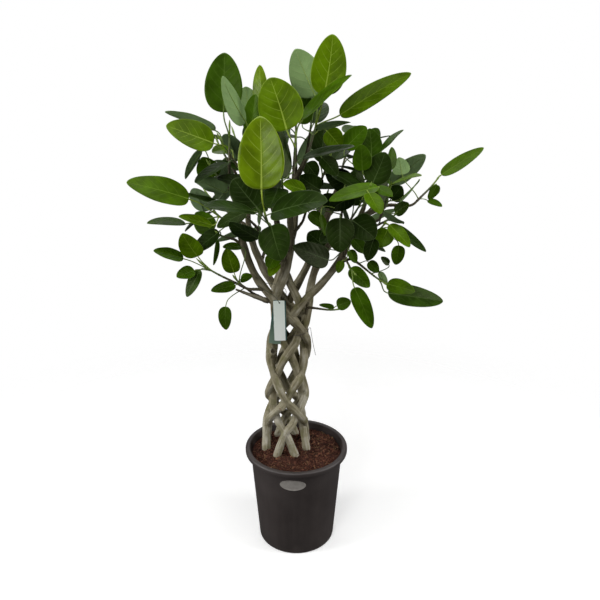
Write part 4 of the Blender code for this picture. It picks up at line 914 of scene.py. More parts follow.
def stalk_skin():
    """Leaf stalks and midribs: pale yellow green, greener on older leaves."""
    s = Surface("stalk_skin", roughness=0.45)
    age = s.attribute("age")
    grain = s.attribute("grain", "Vector")
    streak = s.streaks(grain, 900.0, 40.0, 2.0)
    colour = s.stops(age, [(0.0, (0.390, 0.520, 0.042)), (0.5, (0.160, 0.250, 0.045)),
                           (1.0, (0.070, 0.105, 0.038))])
    s.feed("Base Color", s.blend(s.ease(streak, 0.35, 0.65, 0.0, 0.4), colour, (0.10, 0.14, 0.03)))
    s.relief(streak, 0.3, 0.0004)
    return s.made


def shoot_skin():
    """Green shoots, brown and corky towards the wood, with a pale bud."""
    s = Surface("shoot_skin", roughness=0.55)
    share = s.attribute("share")
    grain = s.attribute("grain", "Vector")
    cork = s.streaks(grain, 500.0, 120.0)
    colour = s.stops(share + (cork - 0.5) * 0.25,
                     [(0.0, (0.070, 0.055, 0.032)), (0.35, (0.085, 0.085, 0.034)),
                      (0.6, (0.105, 0.165, 0.035)), (0.85, (0.200, 0.300, 0.045)),
                      (1.0, (0.230, 0.330, 0.060))])
    s.feed("Base Color", colour)
    s.relief(cork, 0.5, 0.0006)
    return s.made


def bark_skin():
    """Grey-olive bark: long streaks, faint cross wrinkles, pores, dark knots and pale cuts."""
    s = Surface("bark_skin", roughness=0.8, specular=0.25)
    grain = s.attribute("grain", "Vector")
    knot = s.attribute("knot")
    cut = s.attribute("cut")
    twig = s.attribute("twig")
    place = s.place()
    height = s.parts(place)[2]
    streak = s.streaks(grain, 130.0, 11.0, 5.0, 0.62)
    wrinkle = s.streaks(grain, 35.0, 330.0, 4.0, 0.6)
    patch = s.noise(place, 20.0, 4.0, 0.55)
    pore = s.cells(s.stretched(grain, 190.0, 260.0), 1.0)
    # Painted light: the height term lifts the tone towards the foot, so the stems are lighter low
    # down
    tone = streak * 0.55 + patch * 0.45 + s.ease(height, 0.30, 0.62, 0.105, 0.012)
    colour = s.stops(tone, [(0.34, (0.055, 0.045, 0.024)), (0.46, (0.175, 0.151, 0.088)),
                            (0.57, (0.320, 0.290, 0.198)), (0.69, (0.520, 0.490, 0.400))])
    moss = s.ease(s.noise(place, 34.0, 3.0), 0.50, 0.66) * 0.55
    colour = s.blend(moss, colour, (0.150, 0.142, 0.052))
    colour = s.blend(s.ease(wrinkle, 0.58, 0.70) * 0.22, colour, (0.060, 0.048, 0.030))
    colour = s.blend(s.ease(pore, 0.05, 0.20, 0.45, 0.0), colour, (0.055, 0.042, 0.026))
    colour = s.blend(knot * s.ease(streak, 0.3, 0.6, 0.95, 0.7), colour, (0.030, 0.022, 0.014))
    rings = s.noise(place, 240.0, 2.0)
    wood = s.stops(rings, [(0.35, (0.20, 0.14, 0.075)), (0.65, (0.40, 0.31, 0.20))])
    colour = s.blend(cut, colour, wood)
    dark = s.stops(tone, [(0.35, (0.040, 0.032, 0.018)), (0.65, (0.112, 0.098, 0.056))])
    colour = s.blend(s.ease(height, 0.70, 0.86, 0.0, 0.75), colour, dark)
    s.feed("Base Color", s.blend(twig, colour, dark))
    s.feed("Roughness", s.ease(tone, 0.35, 0.65, 0.9, 0.72))
    relief = streak * 0.9 + s.ease(wrinkle, 0.5, 0.7, 0.16, 0.0) + s.ease(pore, 0.0, 0.25) * 0.25
    s.relief(relief, 0.7, 0.0018)
    return s.made


def coir_skin():
    """Coir and bark: reddish dark brown, each chip a little different."""
    s = Surface("coir_skin", roughness=0.92, specular=0.2)
    shade = s.attribute("shade")
    grit = s.noise(s.place(), 330.0, 4.0, 0.7)
    colour = s.stops(shade + (grit - 0.5) * 0.35,
                     [(0.0, (0.018, 0.008, 0.006)), (0.35, (0.064, 0.024, 0.016)),
                      (0.65, (0.160, 0.060, 0.037)), (0.88, (0.260, 0.125, 0.072)),
                      (1.0, (0.300, 0.190, 0.095))])
    s.feed("Base Color", colour)
    s.relief(grit, 0.8, 0.0015)
    return s.made


def pot_skin():
    """Moulded dark plastic with a fine grain, faint flow marks and a little dust near its foot."""
    s = Surface("pot_skin", roughness=0.5, specular=0.75)
    place = s.place()
    cloud = s.noise(place, 9.0, 4.0, 0.6)
    grain = s.noise(place, 1400.0, 2.0, 0.6)
    flow = s.streaks(place, 60.0, 3.0)
    height = s.parts(place)[2]
    dust = s.ease(height, 0.0, 0.09, 0.45, 0.0) * s.ease(s.noise(place, 30.0, 5.0, 0.7), 0.45, 0.7)
    colour = s.stops(cloud * 0.6 + flow * 0.4, [(0.35, (0.0340, 0.0258, 0.0240)),
                                                (0.65, (0.0500, 0.0392, 0.0360))])
    colour = s.blend(dust * 0.5, colour, (0.110, 0.092, 0.080))
    s.feed("Base Color", colour)
    s.feed("Roughness", s.ease(cloud, 0.3, 0.7, 0.46, 0.60) + dust * 0.3)
    s.relief(grain * 0.5 + flow * 0.5, 0.25, 0.0006)
    return s.made


def badge_skin():
    """Blank silver-grey label film, brushed and a little cloudy."""
    s = Surface("badge_skin", roughness=0.38, metallic=0.35)
    place = s.place()
    brush = s.streaks(place, 60.0, 1800.0)
    cloud = s.noise(place, 70.0, 3.0)
    colour = s.stops(brush * 0.4 + cloud * 0.6, [(0.35, (0.430, 0.400, 0.365)),
                                                 (0.65, (0.590, 0.555, 0.515))])
    s.feed("Base Color", colour)
    s.feed("Roughness", s.ease(cloud, 0.3, 0.7, 0.32, 0.48))
    s.relief(brush, 0.2, 0.0003)
    return s.made


def card_skin(name, stops, spine=None):
    """Coated card in one colour that runs from top to bottom, with nothing on it. On the teal card
    the lighter lower part is a painted sheen.
    """
    s = Surface(name, roughness=0.42)
    place = s.place()
    x, _, z = s.parts(place)
    share = s.ease(z, TAG_HOLE.z + TAG_HOLE_DROP - TAG_LENGTH, TAG_HOLE.z + TAG_HOLE_DROP)
    # The colour changes up the card: lighter towards the bottom, which on the teal card is a
    # painted sheen
    colour = s.stops(share, stops)
    if spine:
        x = x - (z - TAG_HOLE.z) * math.tan(math.radians(TAG_FRONT_TURN))
        low, high = (TAG_HOLE.x + TAG_WIDTH / 2 - inward for inward in TAG_SPINE_EDGE)
        colour = s.blend(s.ease(x, low, high), colour, spine)
    fibre = s.noise(place, 900.0, 3.0, 0.6)
    s.feed("Base Color", s.blend(s.ease(fibre, 0.35, 0.75, 0.0, 0.12), colour, (0.30, 0.36, 0.33)))
    s.feed("Roughness", s.ease(fibre, 0.3, 0.7, 0.36, 0.5))
    s.relief(fibre, 0.15, 0.0003)
    return s.made


def string_skin():
    """Dark twisted string."""
    s = Surface("string_skin", roughness=0.9)
    x, y, along = s.parts(s.attribute("grain", "Vector"))
    turn = y.maths("ARCTAN2", x)
    twist = (turn * 2 + along * 3200.0).maths("SINE")
    s.feed("Base Color", s.stops(twist * 0.5 + 0.5, [(0.1, (0.020, 0.028, 0.020)),
                                                     (0.9, (0.085, 0.105, 0.075))]))
    s.relief(twist, 0.9, 0.0004)
    return s.made


def wire_skin():
    """Thin coated tie wire, dull and a little scratched."""
    s = Surface("wire_skin", roughness=0.5, metallic=0.2)
    wear = s.noise(s.place(), 260.0, 3.0, 0.7)
    s.feed("Base Color", s.stops(wear, [(0.35, (0.035, 0.032, 0.028)),
                                        (0.7, (0.120, 0.112, 0.100))]))
    s.feed("Roughness", s.ease(wear, 0.3, 0.7, 0.4, 0.65))
    s.relief(wear, 0.3, 0.0004)
    return s.made


def alone(made):
    """Only this object selected and active."""
    for other in bpy.context.selected_objects:
        other.select_set(False)
    made.select_set(True)
    bpy.context.view_layer.objects.active = made


def edited(made, steps):
    """Runs edit-mode steps on an object, with all of it selected at first."""
    alone(made)
    bpy.ops.object.mode_set(mode="EDIT")
    bpy.ops.mesh.select_mode(type="VERT")
    pick_all()
    steps(made)
    bpy.ops.object.mode_set(mode="OBJECT")


def pick_all():
    """Selects everything, in edit mode."""
    bpy.ops.mesh.select_all(action="SELECT")


def picked(made, kind, test):
    """Selects the vertices, edges or faces that pass a test, in edit mode."""
    bpy.ops.mesh.select_mode(type={"verts": "VERT", "edges": "EDGE", "faces": "FACE"}[kind])
    bpy.ops.mesh.select_all(action="DESELECT")
    shape = bmesh.from_edit_mesh(made.data)
    for part in getattr(shape, kind):
        if test(part):
            part.select_set(True)
    bmesh.update_edit_mesh(made.data)


def spots_of(mesh):
    """The mesh's points, one row each."""
    spots = np.empty(3 * len(mesh.vertices), np.float32)
    mesh.vertices.foreach_get("co", spots)
    return spots.reshape(-1, 3).astype(float)


def put(mesh, spots):
    """Moves the mesh's points, one row each."""
    mesh.vertices.foreach_set("co", np.asarray(spots, np.float32).ravel())
    mesh.update()


def mark(mesh, name, values):
    """A number, or a vector, kept for each point of the mesh."""
    values = np.asarray(values, np.float32)
    if values.ndim < 2:
        made = mesh.attributes.new(name, "FLOAT", "POINT")
        made.data.foreach_set("value", np.broadcast_to(values, len(mesh.vertices)).copy())
    else:
        made = mesh.attributes.new(name, "FLOAT_VECTOR", "POINT")
        made.data.foreach_set("vector", values.ravel())


def shown(name, mesh):
    """A mesh as an object of the scene."""
    made = bpy.data.objects.new(name, mesh)
    bpy.context.scene.collection.objects.link(made)
    return made


def joined(name, pieces):
    """The pieces as one object."""
    alone(pieces[0])
    if len(pieces) > 1:
        for piece in pieces:
            piece.select_set(True)
        bpy.ops.object.join()
    made = pieces[0]
    made.name = name
    made.data.name = name
    return made


def drilled(made, drill):
    """Cuts the drill's shape out of a piece."""
    alone(made)
    cut = made.modifiers.new("hole", "BOOLEAN")
    cut.object = drill
    cut.operation = "DIFFERENCE"
    bpy.ops.object.modifier_apply(modifier=cut.name)
    bpy.data.objects.remove(drill)


def wrapped(route, marks, ring, angle, radius):
    """Points round a route: each on one of its rings, at an angle and a radius."""
    spots, ahead, sides, far = frames_along(route, marks)
    ups = np.cross(ahead, sides)
    out = sides[ring] * np.cos(angle)[:, None] + ups[ring] * np.sin(angle)[:, None]
    return spots[ring] + out * radius, far[ring]


def finished(made, slot, *nodes, surface=None, sharp=None):
    """A piece in its place: smooth, riding the plant and standing for its frame nodes."""
    if surface:
        made.data.materials.append(surface)
    made.data.shade_smooth()
    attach(made, "root")
    if nodes:
        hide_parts(*nodes)
    if sharp:
        made.data.set_sharp_from_angle(angle=math.radians(sharp))


def rod(sides, rings):
    """An upright rod of radius 1 and height 1, cut into rings, as a mesh to copy."""
    bpy.ops.mesh.primitive_cylinder_add(vertices=sides, radius=1, depth=1, location=(0, 0, 0))
    made = bpy.context.object

    def cut(made):
        picked(made, "edges", lambda e: abs(e.verts[0].co.z - e.verts[1].co.z) > 0.5)
        bpy.ops.mesh.subdivide(number_cuts=rings - 1)

    edited(made, cut)
    mesh = made.data
    bpy.data.objects.remove(made)
    return mesh


def frames_along(route, marks):
    """Places along a route, with the way ahead and a side direction that never twists."""
    points = np.array([tuple(p) for p in route])
    lengths = np.concatenate([[0], np.cumsum(np.linalg.norm(np.diff(points, axis=0), axis=1))])
    marks = np.asarray(marks) * lengths[-1]
    spots = np.stack([np.interp(marks, lengths, points[:, k]) for k in range(3)], axis=1)
    ahead = np.gradient(spots, axis=0)
    ahead /= np.linalg.norm(ahead, axis=1, keepdims=True)
    side = np.array(Vector(ahead[0]).orthogonal().normalized())
    sides = []
    for heading in ahead:
        side = side - heading * side.dot(heading)
        side /= np.linalg.norm(side)
        sides.append(side)
    return spots, ahead, np.array(sides), marks


def carried(template, route, radii, bumps=None):
    """A copy of a rod laid along a route. The radii are spread evenly along it."""
    mesh = template.copy()
    local = spots_of(mesh)
    share = np.clip(local[:, 2] + 0.5, 0, 1)
    angle = np.arctan2(local[:, 1], local[:, 0])
    marks = np.unique(share.round(5))
    ring = np.searchsorted(marks, share.round(5))
    radius = np.interp(marks, np.linspace(0, 1, len(radii)), radii)[ring]
    if bumps is not None:
        radius = radius * bumps(share, angle)
    spots, far = wrapped(route, marks, ring, angle, radius[:, None])
    put(mesh, spots)
    mark(mesh, "grain", np.stack([radius * np.cos(angle), radius * np.sin(angle), far], axis=1))
    mark(mesh, "share", share)
    return mesh


def blade_template():
    """A thin round disc of even faces, to be drawn out into each blade."""
    bpy.ops.mesh.primitive_grid_add(x_subdivisions=BLADE_COLUMNS, y_subdivisions=BLADE_CUTS,
                                    size=2, location=(0, 0, 0))
    made = bpy.context.object
    flat = spots_of(made.data)
    x, y = flat[:, 0].copy(), flat[:, 1].copy()
    flat[:, 0] = x * np.sqrt(1 - 0.5 * y ** 2)
    flat[:, 1] = y * np.sqrt(1 - 0.5 * x ** 2)
    put(made.data, flat)
    alone(made)
    skin = made.modifiers.new("thickness", "SOLIDIFY")
    skin.thickness = 0.02
    skin.offset = 0
    bpy.ops.object.modifier_apply(modifier=skin.name)
    mesh = made.data
    round_spots = spots_of(mesh)
    sheet = mesh.uv_layers[0] if mesh.uv_layers else mesh.uv_layers.new()
    sheet.name = "blade"
    corners = np.empty(len(mesh.loops), int)
    mesh.loops.foreach_get("vertex_index", corners)
    sheet.data.foreach_set("uv", (round_spots[corners, :2] / 2 + 0.5).astype(np.float32).ravel())
    backs = [int(face.normal.z < -0.5) for face in mesh.polygons]
    mesh.polygons.foreach_set("material_index", backs)
    bpy.data.objects.remove(made)
    return mesh


def laid(leaf, x, y, z, habit):
    """Points of a round disc carried to a leaf's blade."""
    along, across, up = (np.array(axis) for axis in blade_axes(leaf))
    length = (leaf.tip - leaf.base).length
    u = np.clip((1 + y) / 2, 0, 1)
    s = u ** BLADE_WIDEST
    half = 0.5 * leaf.width * (4 * s * (1 - s)) ** BLADE_FULLNESS
    chord = np.sqrt(np.maximum(1 - y ** 2, 1e-9))
    v = np.where(chord > 1e-3, np.clip(x / chord, -1, 1), 0)
    out = np.abs(v)
    lift = (BLADE_FOLD * half * (np.sqrt(out ** 2 + 0.02) - 0.14)
            + BLADE_ARCH * length * 4 * u * (1 - u))
    window = np.clip(3 * np.abs(x) * (1 - x ** 2 - y ** 2), 0, 1)
    line = u - np.abs(x) * VEIN_RISE - x ** 2 * VEIN_CURL + np.sign(x) * VEIN_STAGGER
    lift = lift + QUILT * leaf.width * np.cos(2 * np.pi * (VEIN_RATE * line + VEIN_START)) * window
    ripple = np.sin(2 * np.pi * (habit.ripples * u + habit.phase + RIPPLE_SHIFT * np.sign(v)))
    lift = lift + habit.wave * half * out ** 3 * ripple
    lift = lift - habit.droop * length * np.clip(u - DROOP_FROM, 0, 1) ** 2 * 6.0
    sway = habit.sway * length * u * (1 - u) * 4
    return (np.array(leaf.base) + np.outer(u * length, along)
            + np.outer(v * half + sway, across) + np.outer(lift + z, up))


def leaf_meshes(shoot, leaf, blade, stem, surfaces, draw):
    """A leaf's blade, and its stalk, which runs on under the blade as the midrib."""
    habit = Habit(draw.uniform(0.0, 0.045), draw.uniform(0.8, 1.9), draw.random(),
                  draw.uniform(-0.01, 0.03), draw.uniform(-0.02, 0.02))
    mesh = blade.copy()
    disc = spots_of(mesh)
    z = np.sign(disc[:, 2]) * 0.5 * LEAF_THICKNESS
    put(mesh, laid(leaf, disc[:, 0], disc[:, 1], z, habit))
    mark(mesh, "age", leaf.tone)
    for surface in (surfaces["leaf_face"], surfaces["leaf_back"]):
        mesh.materials.append(surface)
    route = stalk_route(shoot, leaf, 8)[:-1]
    y = np.linspace(*RIB_SPAN, RIB_POINTS)
    depth = np.linspace(*RIB_DEPTH, RIB_POINTS) + 0.5 * LEAF_THICKNESS
    rib = laid(leaf, np.zeros(RIB_POINTS), y, -depth, habit)
    route = smooth_route([*route[::2], *rib[::2]], 3)
    # Small leaves have thinner stalks. The stalk's own share of the route sets the marks.
    length = (leaf.tip - leaf.base).length
    size = 0.6 + 0.4 * min(1.0, length / FULL_BLADE)
    stalk = (route[0] - leaf.base).length
    share = stalk / (stalk + length * 0.9)
    radii = np.interp(np.linspace(0, 1, 40), [0, 0.06, 0.6 * share, share, share + 0.05, 1],
                      STALK_RADII) * size
    rod_mesh = carried(stem, route, radii)
    mark(rod_mesh, "age", leaf.tone)
    rod_mesh.materials.append(surfaces["stalk_skin"])
    return mesh, rod_mesh


def ringed(rate, phase, height=0.18, width=0.008, until=2.0):
    """How a twig or shoot swells into rings where its leaves sat, up to a share of its length."""
    def bumps(share, angle):
        away = (share * rate + phase) % 1 - 0.5
        return 1 + height * np.exp(-away ** 2 / width) * (share < until)

    return bumps


def shoot_mesh(shoot, stem, surface):
    """A shoot's stem: ringed where leaves sat, and ending in a pointed bud."""
    route = shoot_route(shoot, 14)
    last = route[-1] + (route[-1] - route[-2]).normalized() * BUD_EXTRA
    radii = np.interp(np.linspace(0, 1, 60), SHOOT_MARKS, SHOOT_RADII)
    mesh = carried(stem, route + [last], radii, ringed(9, 0.0, 0.16, 0.006, 0.8))
    mesh.materials.append(surface)
    return mesh


def make_sprays(shoots, surfaces):
    """One piece for each leafy shoot."""
    blade = blade_template()
    stalk_rod, shoot_rod = rod(*STALK_ROD), rod(*SHOOT_ROD)
    draw = random.Random(HABIT_SEED)
    for name, shoot in shoots.items():
        pieces = [shown("shoot", shoot_mesh(shoot, shoot_rod, surfaces["shoot_skin"]))]
        for leaf in shoot.leaves:
            for mesh in leaf_meshes(shoot, leaf, blade, stalk_rod, surfaces, draw):
                pieces.append(shown("leaf", mesh))
        finished(joined("spray_" + name, pieces), shoot.colour, "shoot_" + name)


def stem_bumps(draw, knots):
    """How a stem swells: slow swellings, lengthwise flutes, and knots."""
    slow = [(draw.uniform(2, 16), draw.uniform(0, 7), draw.uniform(0.012, 0.035)) for _ in range(9)]
    flutes = [(draw.choice((2, 3, 4, 5, 7)), draw.uniform(-14, 14), draw.uniform(0, 7),
               draw.uniform(0.010, 0.028)) for _ in range(10)]

    def bumps(share, angle):
        size = np.ones_like(share)
        for rate, phase, height in slow:
            size += height * np.sin(rate * BARK_TURN * share + phase)
        for turns, climb, phase, height in flutes:
            size += height * np.sin(turns * angle + climb * BARK_TURN * share + phase)
        for place, turn, height in knots:
            size += height * near_knot(share, angle, place, turn, 1.0)
            size -= 0.6 * height * near_knot(share, angle, place, turn, 0.45)
        ends = np.clip((1 - share) / 0.02, 0, 1)
        return size * np.sqrt(ends * (2 - ends) * 0.96 + 0.04)

    return bumps


def near_knot(share, angle, place, turn, size):
    """1 in the middle of a knot, falling to 0 past its edge."""
    away = (angle - turn + math.pi) % (2 * math.pi) - math.pi
    far = ((share - place) / (KNOT_LENGTH * size)) ** 2 + (away / (KNOT_TURN * size)) ** 2
    return np.exp(-far)


def make_trunk(shoots, stems, surface):
    """The braided stems, their branches, the cut stubs and the twigs."""
    draw = random.Random(KNOT_SEED)
    stem_rod, twig_rod = rod(*STEM_ROD), rod(*TWIG_ROD)
    local = spots_of(stem_rod)
    share, angle = local[:, 2] + 0.5, np.arctan2(local[:, 1], local[:, 0])
    pieces = []

    def add(mesh, knot=0.0, cut=0.0, twig=0.0):
        """Keeps a piece of wood, with how much it is a knot, a cut face and a twig."""
        for name, values in (("knot", knot), ("cut", cut), ("twig", twig)):
            mark(mesh, name, values)
        mesh.materials.append(surface)
        pieces.append(shown("wood", mesh))

    for route in stems:
        knots = [(draw.uniform(*KNOT_REACH), draw.uniform(-3, 3), draw.uniform(*KNOT_HEIGHT))
                 for _ in range(KNOTS_PER_STEM)]
        smooth = smooth_route(route, 8)
        lengths = np.cumsum([0] + [(b - a).length for a, b in zip(smooth, smooth[1:])])
        radii = np.interp(np.linspace(0, 1, 120), lengths / lengths[-1],
                          np.interp(np.linspace(0, len(route) - 1, len(smooth)),
                                    np.arange(len(route)), stem_radii(route)))
        dark = np.clip(sum(near_knot(share, angle, k[0], k[1], 0.62) for k in knots), 0, 1)
        add(carried(stem_rod, smooth, radii, stem_bumps(draw, knots)), knot=dark)
    for (points, first, last), cut_end in zip(STUBS, STUB_ENDS):
        if cut_end:
            add(*stub_mesh(Vector(points[0]), Vector(points[-1]), last, *cut_end))
        else:
            mesh = carried(twig_rod, smooth_route(points, 8), [first, last], ringed(3.0, 0.2))
            add(mesh, twig=0.5)
    radii = np.linspace(TWIG_RADIUS, TWIG_END_RADIUS, 20)
    for shoot in shoots.values():
        rings = ringed(draw.uniform(5, 9), draw.random())
        add(carried(twig_rod, twig_route(stems, shoot, 12), radii, rings), twig=0.85)
    finished(joined("braided_trunk", pieces), "bark", "trunk")


def stub_mesh(start, end, radius, hole, pale):
    """A short cut branch, a little thicker at its stem, with a rounded rim round its cut face."""
    bpy.ops.mesh.primitive_uv_sphere_add(segments=28, ring_count=20, radius=1, location=(0, 0, 0))
    ball = bpy.context.object
    x, y, z = spots_of(ball.data).T
    angle, top = np.arctan2(y, x), z > 0
    # The upper half of the ball becomes the cut face and the lower half the stub's side
    wide = np.where(top, np.hypot(x, y), np.sqrt(np.clip(1 - z ** 6, 0, 1)) * (1 + 0.2 * z ** 2))
    face = np.sqrt(np.clip(1 - wide ** 6, 0, 1)) * 0.22 - hole * np.clip(1 - wide ** 2 * 2.2, 0, 1)
    height = np.where(top, face, z * (end - start).length / radius)
    out = wide * (1 + 0.06 * np.sin(3 * angle + 1.0) + 0.04 * np.sin(5 * angle))
    local = np.stack([out * np.cos(angle), out * np.sin(angle), height], axis=1) * radius
    turn = Vector((0, 0, 1)).rotation_difference(end - start).to_matrix()
    mesh = ball.data
    put(mesh, local @ np.array(turn).T + np.array(end))
    mark(mesh, "grain", local)
    bpy.data.objects.remove(ball)
    face = top * np.clip((0.86 - wide) * 12, 0, 1)
    return mesh, face * (0.0 if pale else 0.9), face * (0.85 if pale else 0.0)


def spun(name, profile, steps):
    """A turned piece from a profile of radius and height, drawn by extruding a point."""
    bpy.ops.mesh.primitive_plane_add(size=0.001, location=(0, 0, 0))
    made = bpy.context.object
    made.name = name

    def draw(made):
        bpy.ops.mesh.merge(type="CENTER")
        bpy.ops.transform.translate(value=(profile[0][0], 0, profile[0][1]))
        for (r0, z0), (r1, z1) in zip(profile, profile[1:]):
            step = {"value": (r1 - r0, 0, z1 - z0)}
            bpy.ops.mesh.extrude_region_move(TRANSFORM_OT_translate=step)
        pick_all()
        bpy.ops.mesh.spin(steps=steps, angle=2 * math.pi, center=(0, 0, 0), axis=(0, 0, 1))
        pick_all()
        bpy.ops.mesh.remove_doubles(threshold=SAME_SPOT)
        bpy.ops.mesh.normals_make_consistent(inside=False)

    edited(made, draw)
    return made


def rounded(centre, radius, start, end, count):
    """Points round a corner of a profile, angles in degrees from outward."""
    points = []
    for k in range(count + 1):
        angle = math.radians(between(start, end, k / count))
        points.append((centre[0] + radius * math.cos(angle), centre[1] + radius * math.sin(angle)))
    return points


def wall_radius(height):
    """The pot's outer radius at a height."""
    return POT_BASE_RADIUS + POT_SLOPE * height


def make_pot(surface):
    """The pot: thin straight wall, rolled lip that flares from it, rounded foot and drain holes."""
    top, under, edge = POT_HEIGHT, POT_HEIGHT - LIP_HEIGHT, LIP_EDGE
    profile = [(0, POT_FLOOR), (wall_radius(POT_FLOOR) - POT_WALL - 0.002, POT_FLOOR),
               (wall_radius(POT_FLOOR) - POT_WALL, POT_FLOOR + 0.002)]
    profile += [(wall_radius(z) - POT_WALL, z) for z in POT_WALL_HEIGHTS]
    profile += [(LIP_INNER_RADIUS - 0.0006, top - 1.8 * edge), (LIP_INNER_RADIUS, top - edge)]
    profile += rounded((LIP_INNER_RADIUS + 0.8 * edge, top - 0.8 * edge), 0.8 * edge, 170, 95, 5)
    profile += rounded((LIP_RADIUS - edge, top - edge), edge, 88, 2, 7)
    profile += rounded((LIP_RADIUS - 0.8 * edge, under + 0.8 * edge), 0.8 * edge, -5, -60, 4)
    foot = (wall_radius(top) - 0.0006, under - 0.8 * edge)
    profile += [(between(profile[-1][0], foot[0], s), between(profile[-1][1], foot[1], s ** 0.6))
                for s in (0.35, 0.7, 1.0)]
    profile += [(wall_radius(z), z) for z in POT_WALL_HEIGHTS[::-1]]
    foot = POT_FOOT_ROUND
    profile += rounded((wall_radius(foot) - foot, foot), foot, -4, -90, 7)
    profile += [(POT_BASE_RADIUS * 0.8, 0), (0, 0)]
    pot = spun("nursery_pot", profile, POT_STEPS)
    for k in range(DRAIN_COUNT):
        angle = math.radians(360 * k / DRAIN_COUNT)
        spot = (DRAIN_CIRCLE * math.cos(angle), DRAIN_CIRCLE * math.sin(angle), 0)
        bpy.ops.mesh.primitive_cylinder_add(vertices=DRAIN_SIDES, radius=DRAIN_RADIUS,
                                            depth=4 * POT_FLOOR, location=spot)
        drilled(pot, bpy.context.object)
    finished(pot, "pot_plastic", "pot", surface=surface, sharp=SHARP_ANGLE)


def make_badge(surface):
    """The blank oval label: a thin plate with a raised rim, wrapped round the wall."""
    bpy.ops.mesh.primitive_cylinder_add(vertices=BADGE_SIDES, radius=0.5,
                                        depth=BADGE_THICKNESS, location=(0, 0, 0))
    badge = bpy.context.object
    badge.name = "oval_label"

    def shape(made):
        picked(made, "faces", lambda f: f.normal.z > 0.9)
        for inset, drop in BADGE_RIM:
            bpy.ops.mesh.inset(thickness=inset)
            bpy.ops.transform.translate(value=(0, 0, drop))
        for _ in range(BADGE_RINGS):
            bpy.ops.mesh.inset(thickness=BADGE_RING_WIDTH)
        pick_all()
        bpy.ops.transform.resize(value=(BADGE_WIDTH, BADGE_HEIGHT, 1), center_override=(0, 0, 0))

    edited(badge, shape)
    spots = spots_of(badge.data)
    height = BADGE_MIDDLE[1] + spots[:, 1]
    out = wall_radius(height) + BADGE_GAP + BADGE_THICKNESS / 2 + spots[:, 2]
    middle = math.asin(BADGE_MIDDLE[0] / wall_radius(BADGE_MIDDLE[1]))
    turn = middle + spots[:, 0] / wall_radius(BADGE_MIDDLE[1])
    put(badge.data, np.stack([out * np.sin(turn), -out * np.cos(turn), height], axis=1))
    finished(badge, "badge_silver", "badge", surface=surface, sharp=SHARP_ANGLE)


def soil_height(x, y, waves):
    """How high the soil lies: a low mound with hollows and lumps."""
    radius = np.hypot(x, y)
    height = np.interp(radius, [0, 0.07, wall_radius(SOIL_EDGE)],
                       [SOIL_MIDDLE, SOIL_MIDDLE, SOIL_EDGE])
    for across, back, phase, size in waves:
        height = height + size * np.sin(across * x + back * y + phase)
    return height


def make_soil(surface):
    """The soil's block with a lumpy top, then chips and fibres strewn over it."""
    draw = random.Random(CHIP_SEED)
    waves = []
    for k in range(WAVE_COUNT):
        rate = between(*WAVE_RATES, k / (WAVE_COUNT - 1))
        turn = draw.uniform(0, 2 * math.pi)
        waves.append((rate * math.cos(turn), rate * math.sin(turn), draw.uniform(0, 6.3),
                      WAVE_HEIGHT * (WAVE_RATES[0] / rate) ** 0.45))
    low = POT_FLOOR + SOIL_GAP
    rim = wall_radius(SOIL_EDGE) - POT_WALL - SOIL_GAP
    bpy.ops.mesh.primitive_cone_add(vertices=SOIL_SIDES, depth=SOIL_EDGE - low, radius2=rim,
                                    radius1=wall_radius(low) - POT_WALL - 0.0005,
                                    location=(0, 0, (SOIL_EDGE + low) / 2))
    soil = bpy.context.object
    bpy.ops.object.transform_apply()
    soil.name = "soil_block"

    def shape(made):
        picked(made, "faces", lambda f: f.normal.z > 0.9 and f.calc_center_median().z > 0.2)
        for _ in range(SOIL_RINGS):
            bpy.ops.mesh.inset(thickness=rim / (SOIL_RINGS + 1))

    edited(soil, shape)
    spots = spots_of(soil.data)
    radius = np.hypot(spots[:, 0], spots[:, 1])
    top = (spots[:, 2] > SOIL_EDGE - 0.0001) & (radius < rim - 0.0005)
    spots[top, 2] = soil_height(spots[top, 0], spots[top, 1], waves)
    put(soil.data, spots)
    mark(soil.data, "shade", SOIL_SHADE)
    finished(soil, "coir_soil", "soil", surface=surface)
    strewn = []
    for _ in range(CHIP_COUNT + FIBRE_COUNT):
        turn, far = draw.uniform(0, 2 * math.pi), (rim - 0.004) * math.sqrt(draw.random())
        strewn.append((far * math.cos(turn), far * math.sin(turn)))
    chips = shown("chips", chip_mesh(strewn[:CHIP_COUNT], waves, draw))
    fibres = shown("fibres", fibre_mesh(strewn[CHIP_COUNT:], waves, draw))
    finished(joined("coir_chips", [chips, fibres]), "coir_soil", surface=surface)


def strewn_mesh(template, placed, shades):
    """Copies of a small mesh as one mesh, each with its own points and shade."""
    count = len(template.vertices)
    corners = [tuple(face.vertices) for face in template.polygons]
    faces = [tuple(k + n * count for k in face) for n in range(len(placed)) for face in corners]
    mesh = bpy.data.meshes.new("strewn")
    mesh.from_pydata(np.concatenate(placed).tolist(), [], faces)
    mark(mesh, "shade", np.repeat(shades, count))
    return mesh


def chip_mesh(places, waves, draw):
    """Flat chips of bark, each a squashed and torn lump."""
    bpy.ops.mesh.primitive_ico_sphere_add(subdivisions=1, radius=1, location=(0, 0, 0))
    lump = bpy.context.object
    shape = spots_of(lump.data)
    placed, shades = [], []
    for x, y in places:
        torn = shape * (1 + CHIP_TEAR * np.array([[draw.uniform(-1, 1)] for _ in shape]))
        length = draw.uniform(*CHIP_LENGTH) * (1.5 if draw.random() < CHIPS_LARGE else 1)
        size = np.array([length, length * draw.uniform(*CHIP_WIDTH),
                         length * draw.uniform(*CHIP_DEPTH)])
        turn = Matrix.Rotation(draw.uniform(0, 6.3), 3, "Z") @ Matrix.Rotation(
            draw.gauss(0, 0.45), 3, "Y") @ Matrix.Rotation(draw.gauss(0, 0.5), 3, "X")
        high = float(soil_height(np.array(x), np.array(y), waves)) + draw.uniform(0.0, 0.0022)
        placed.append((torn * size) @ np.array(turn).T + np.array([x, y, high]))
        shades.append(min(1.0, max(0.05, draw.gauss(0.5, 0.2))))
    mesh = strewn_mesh(lump.data, placed, shades)
    bpy.data.objects.remove(lump)
    return mesh


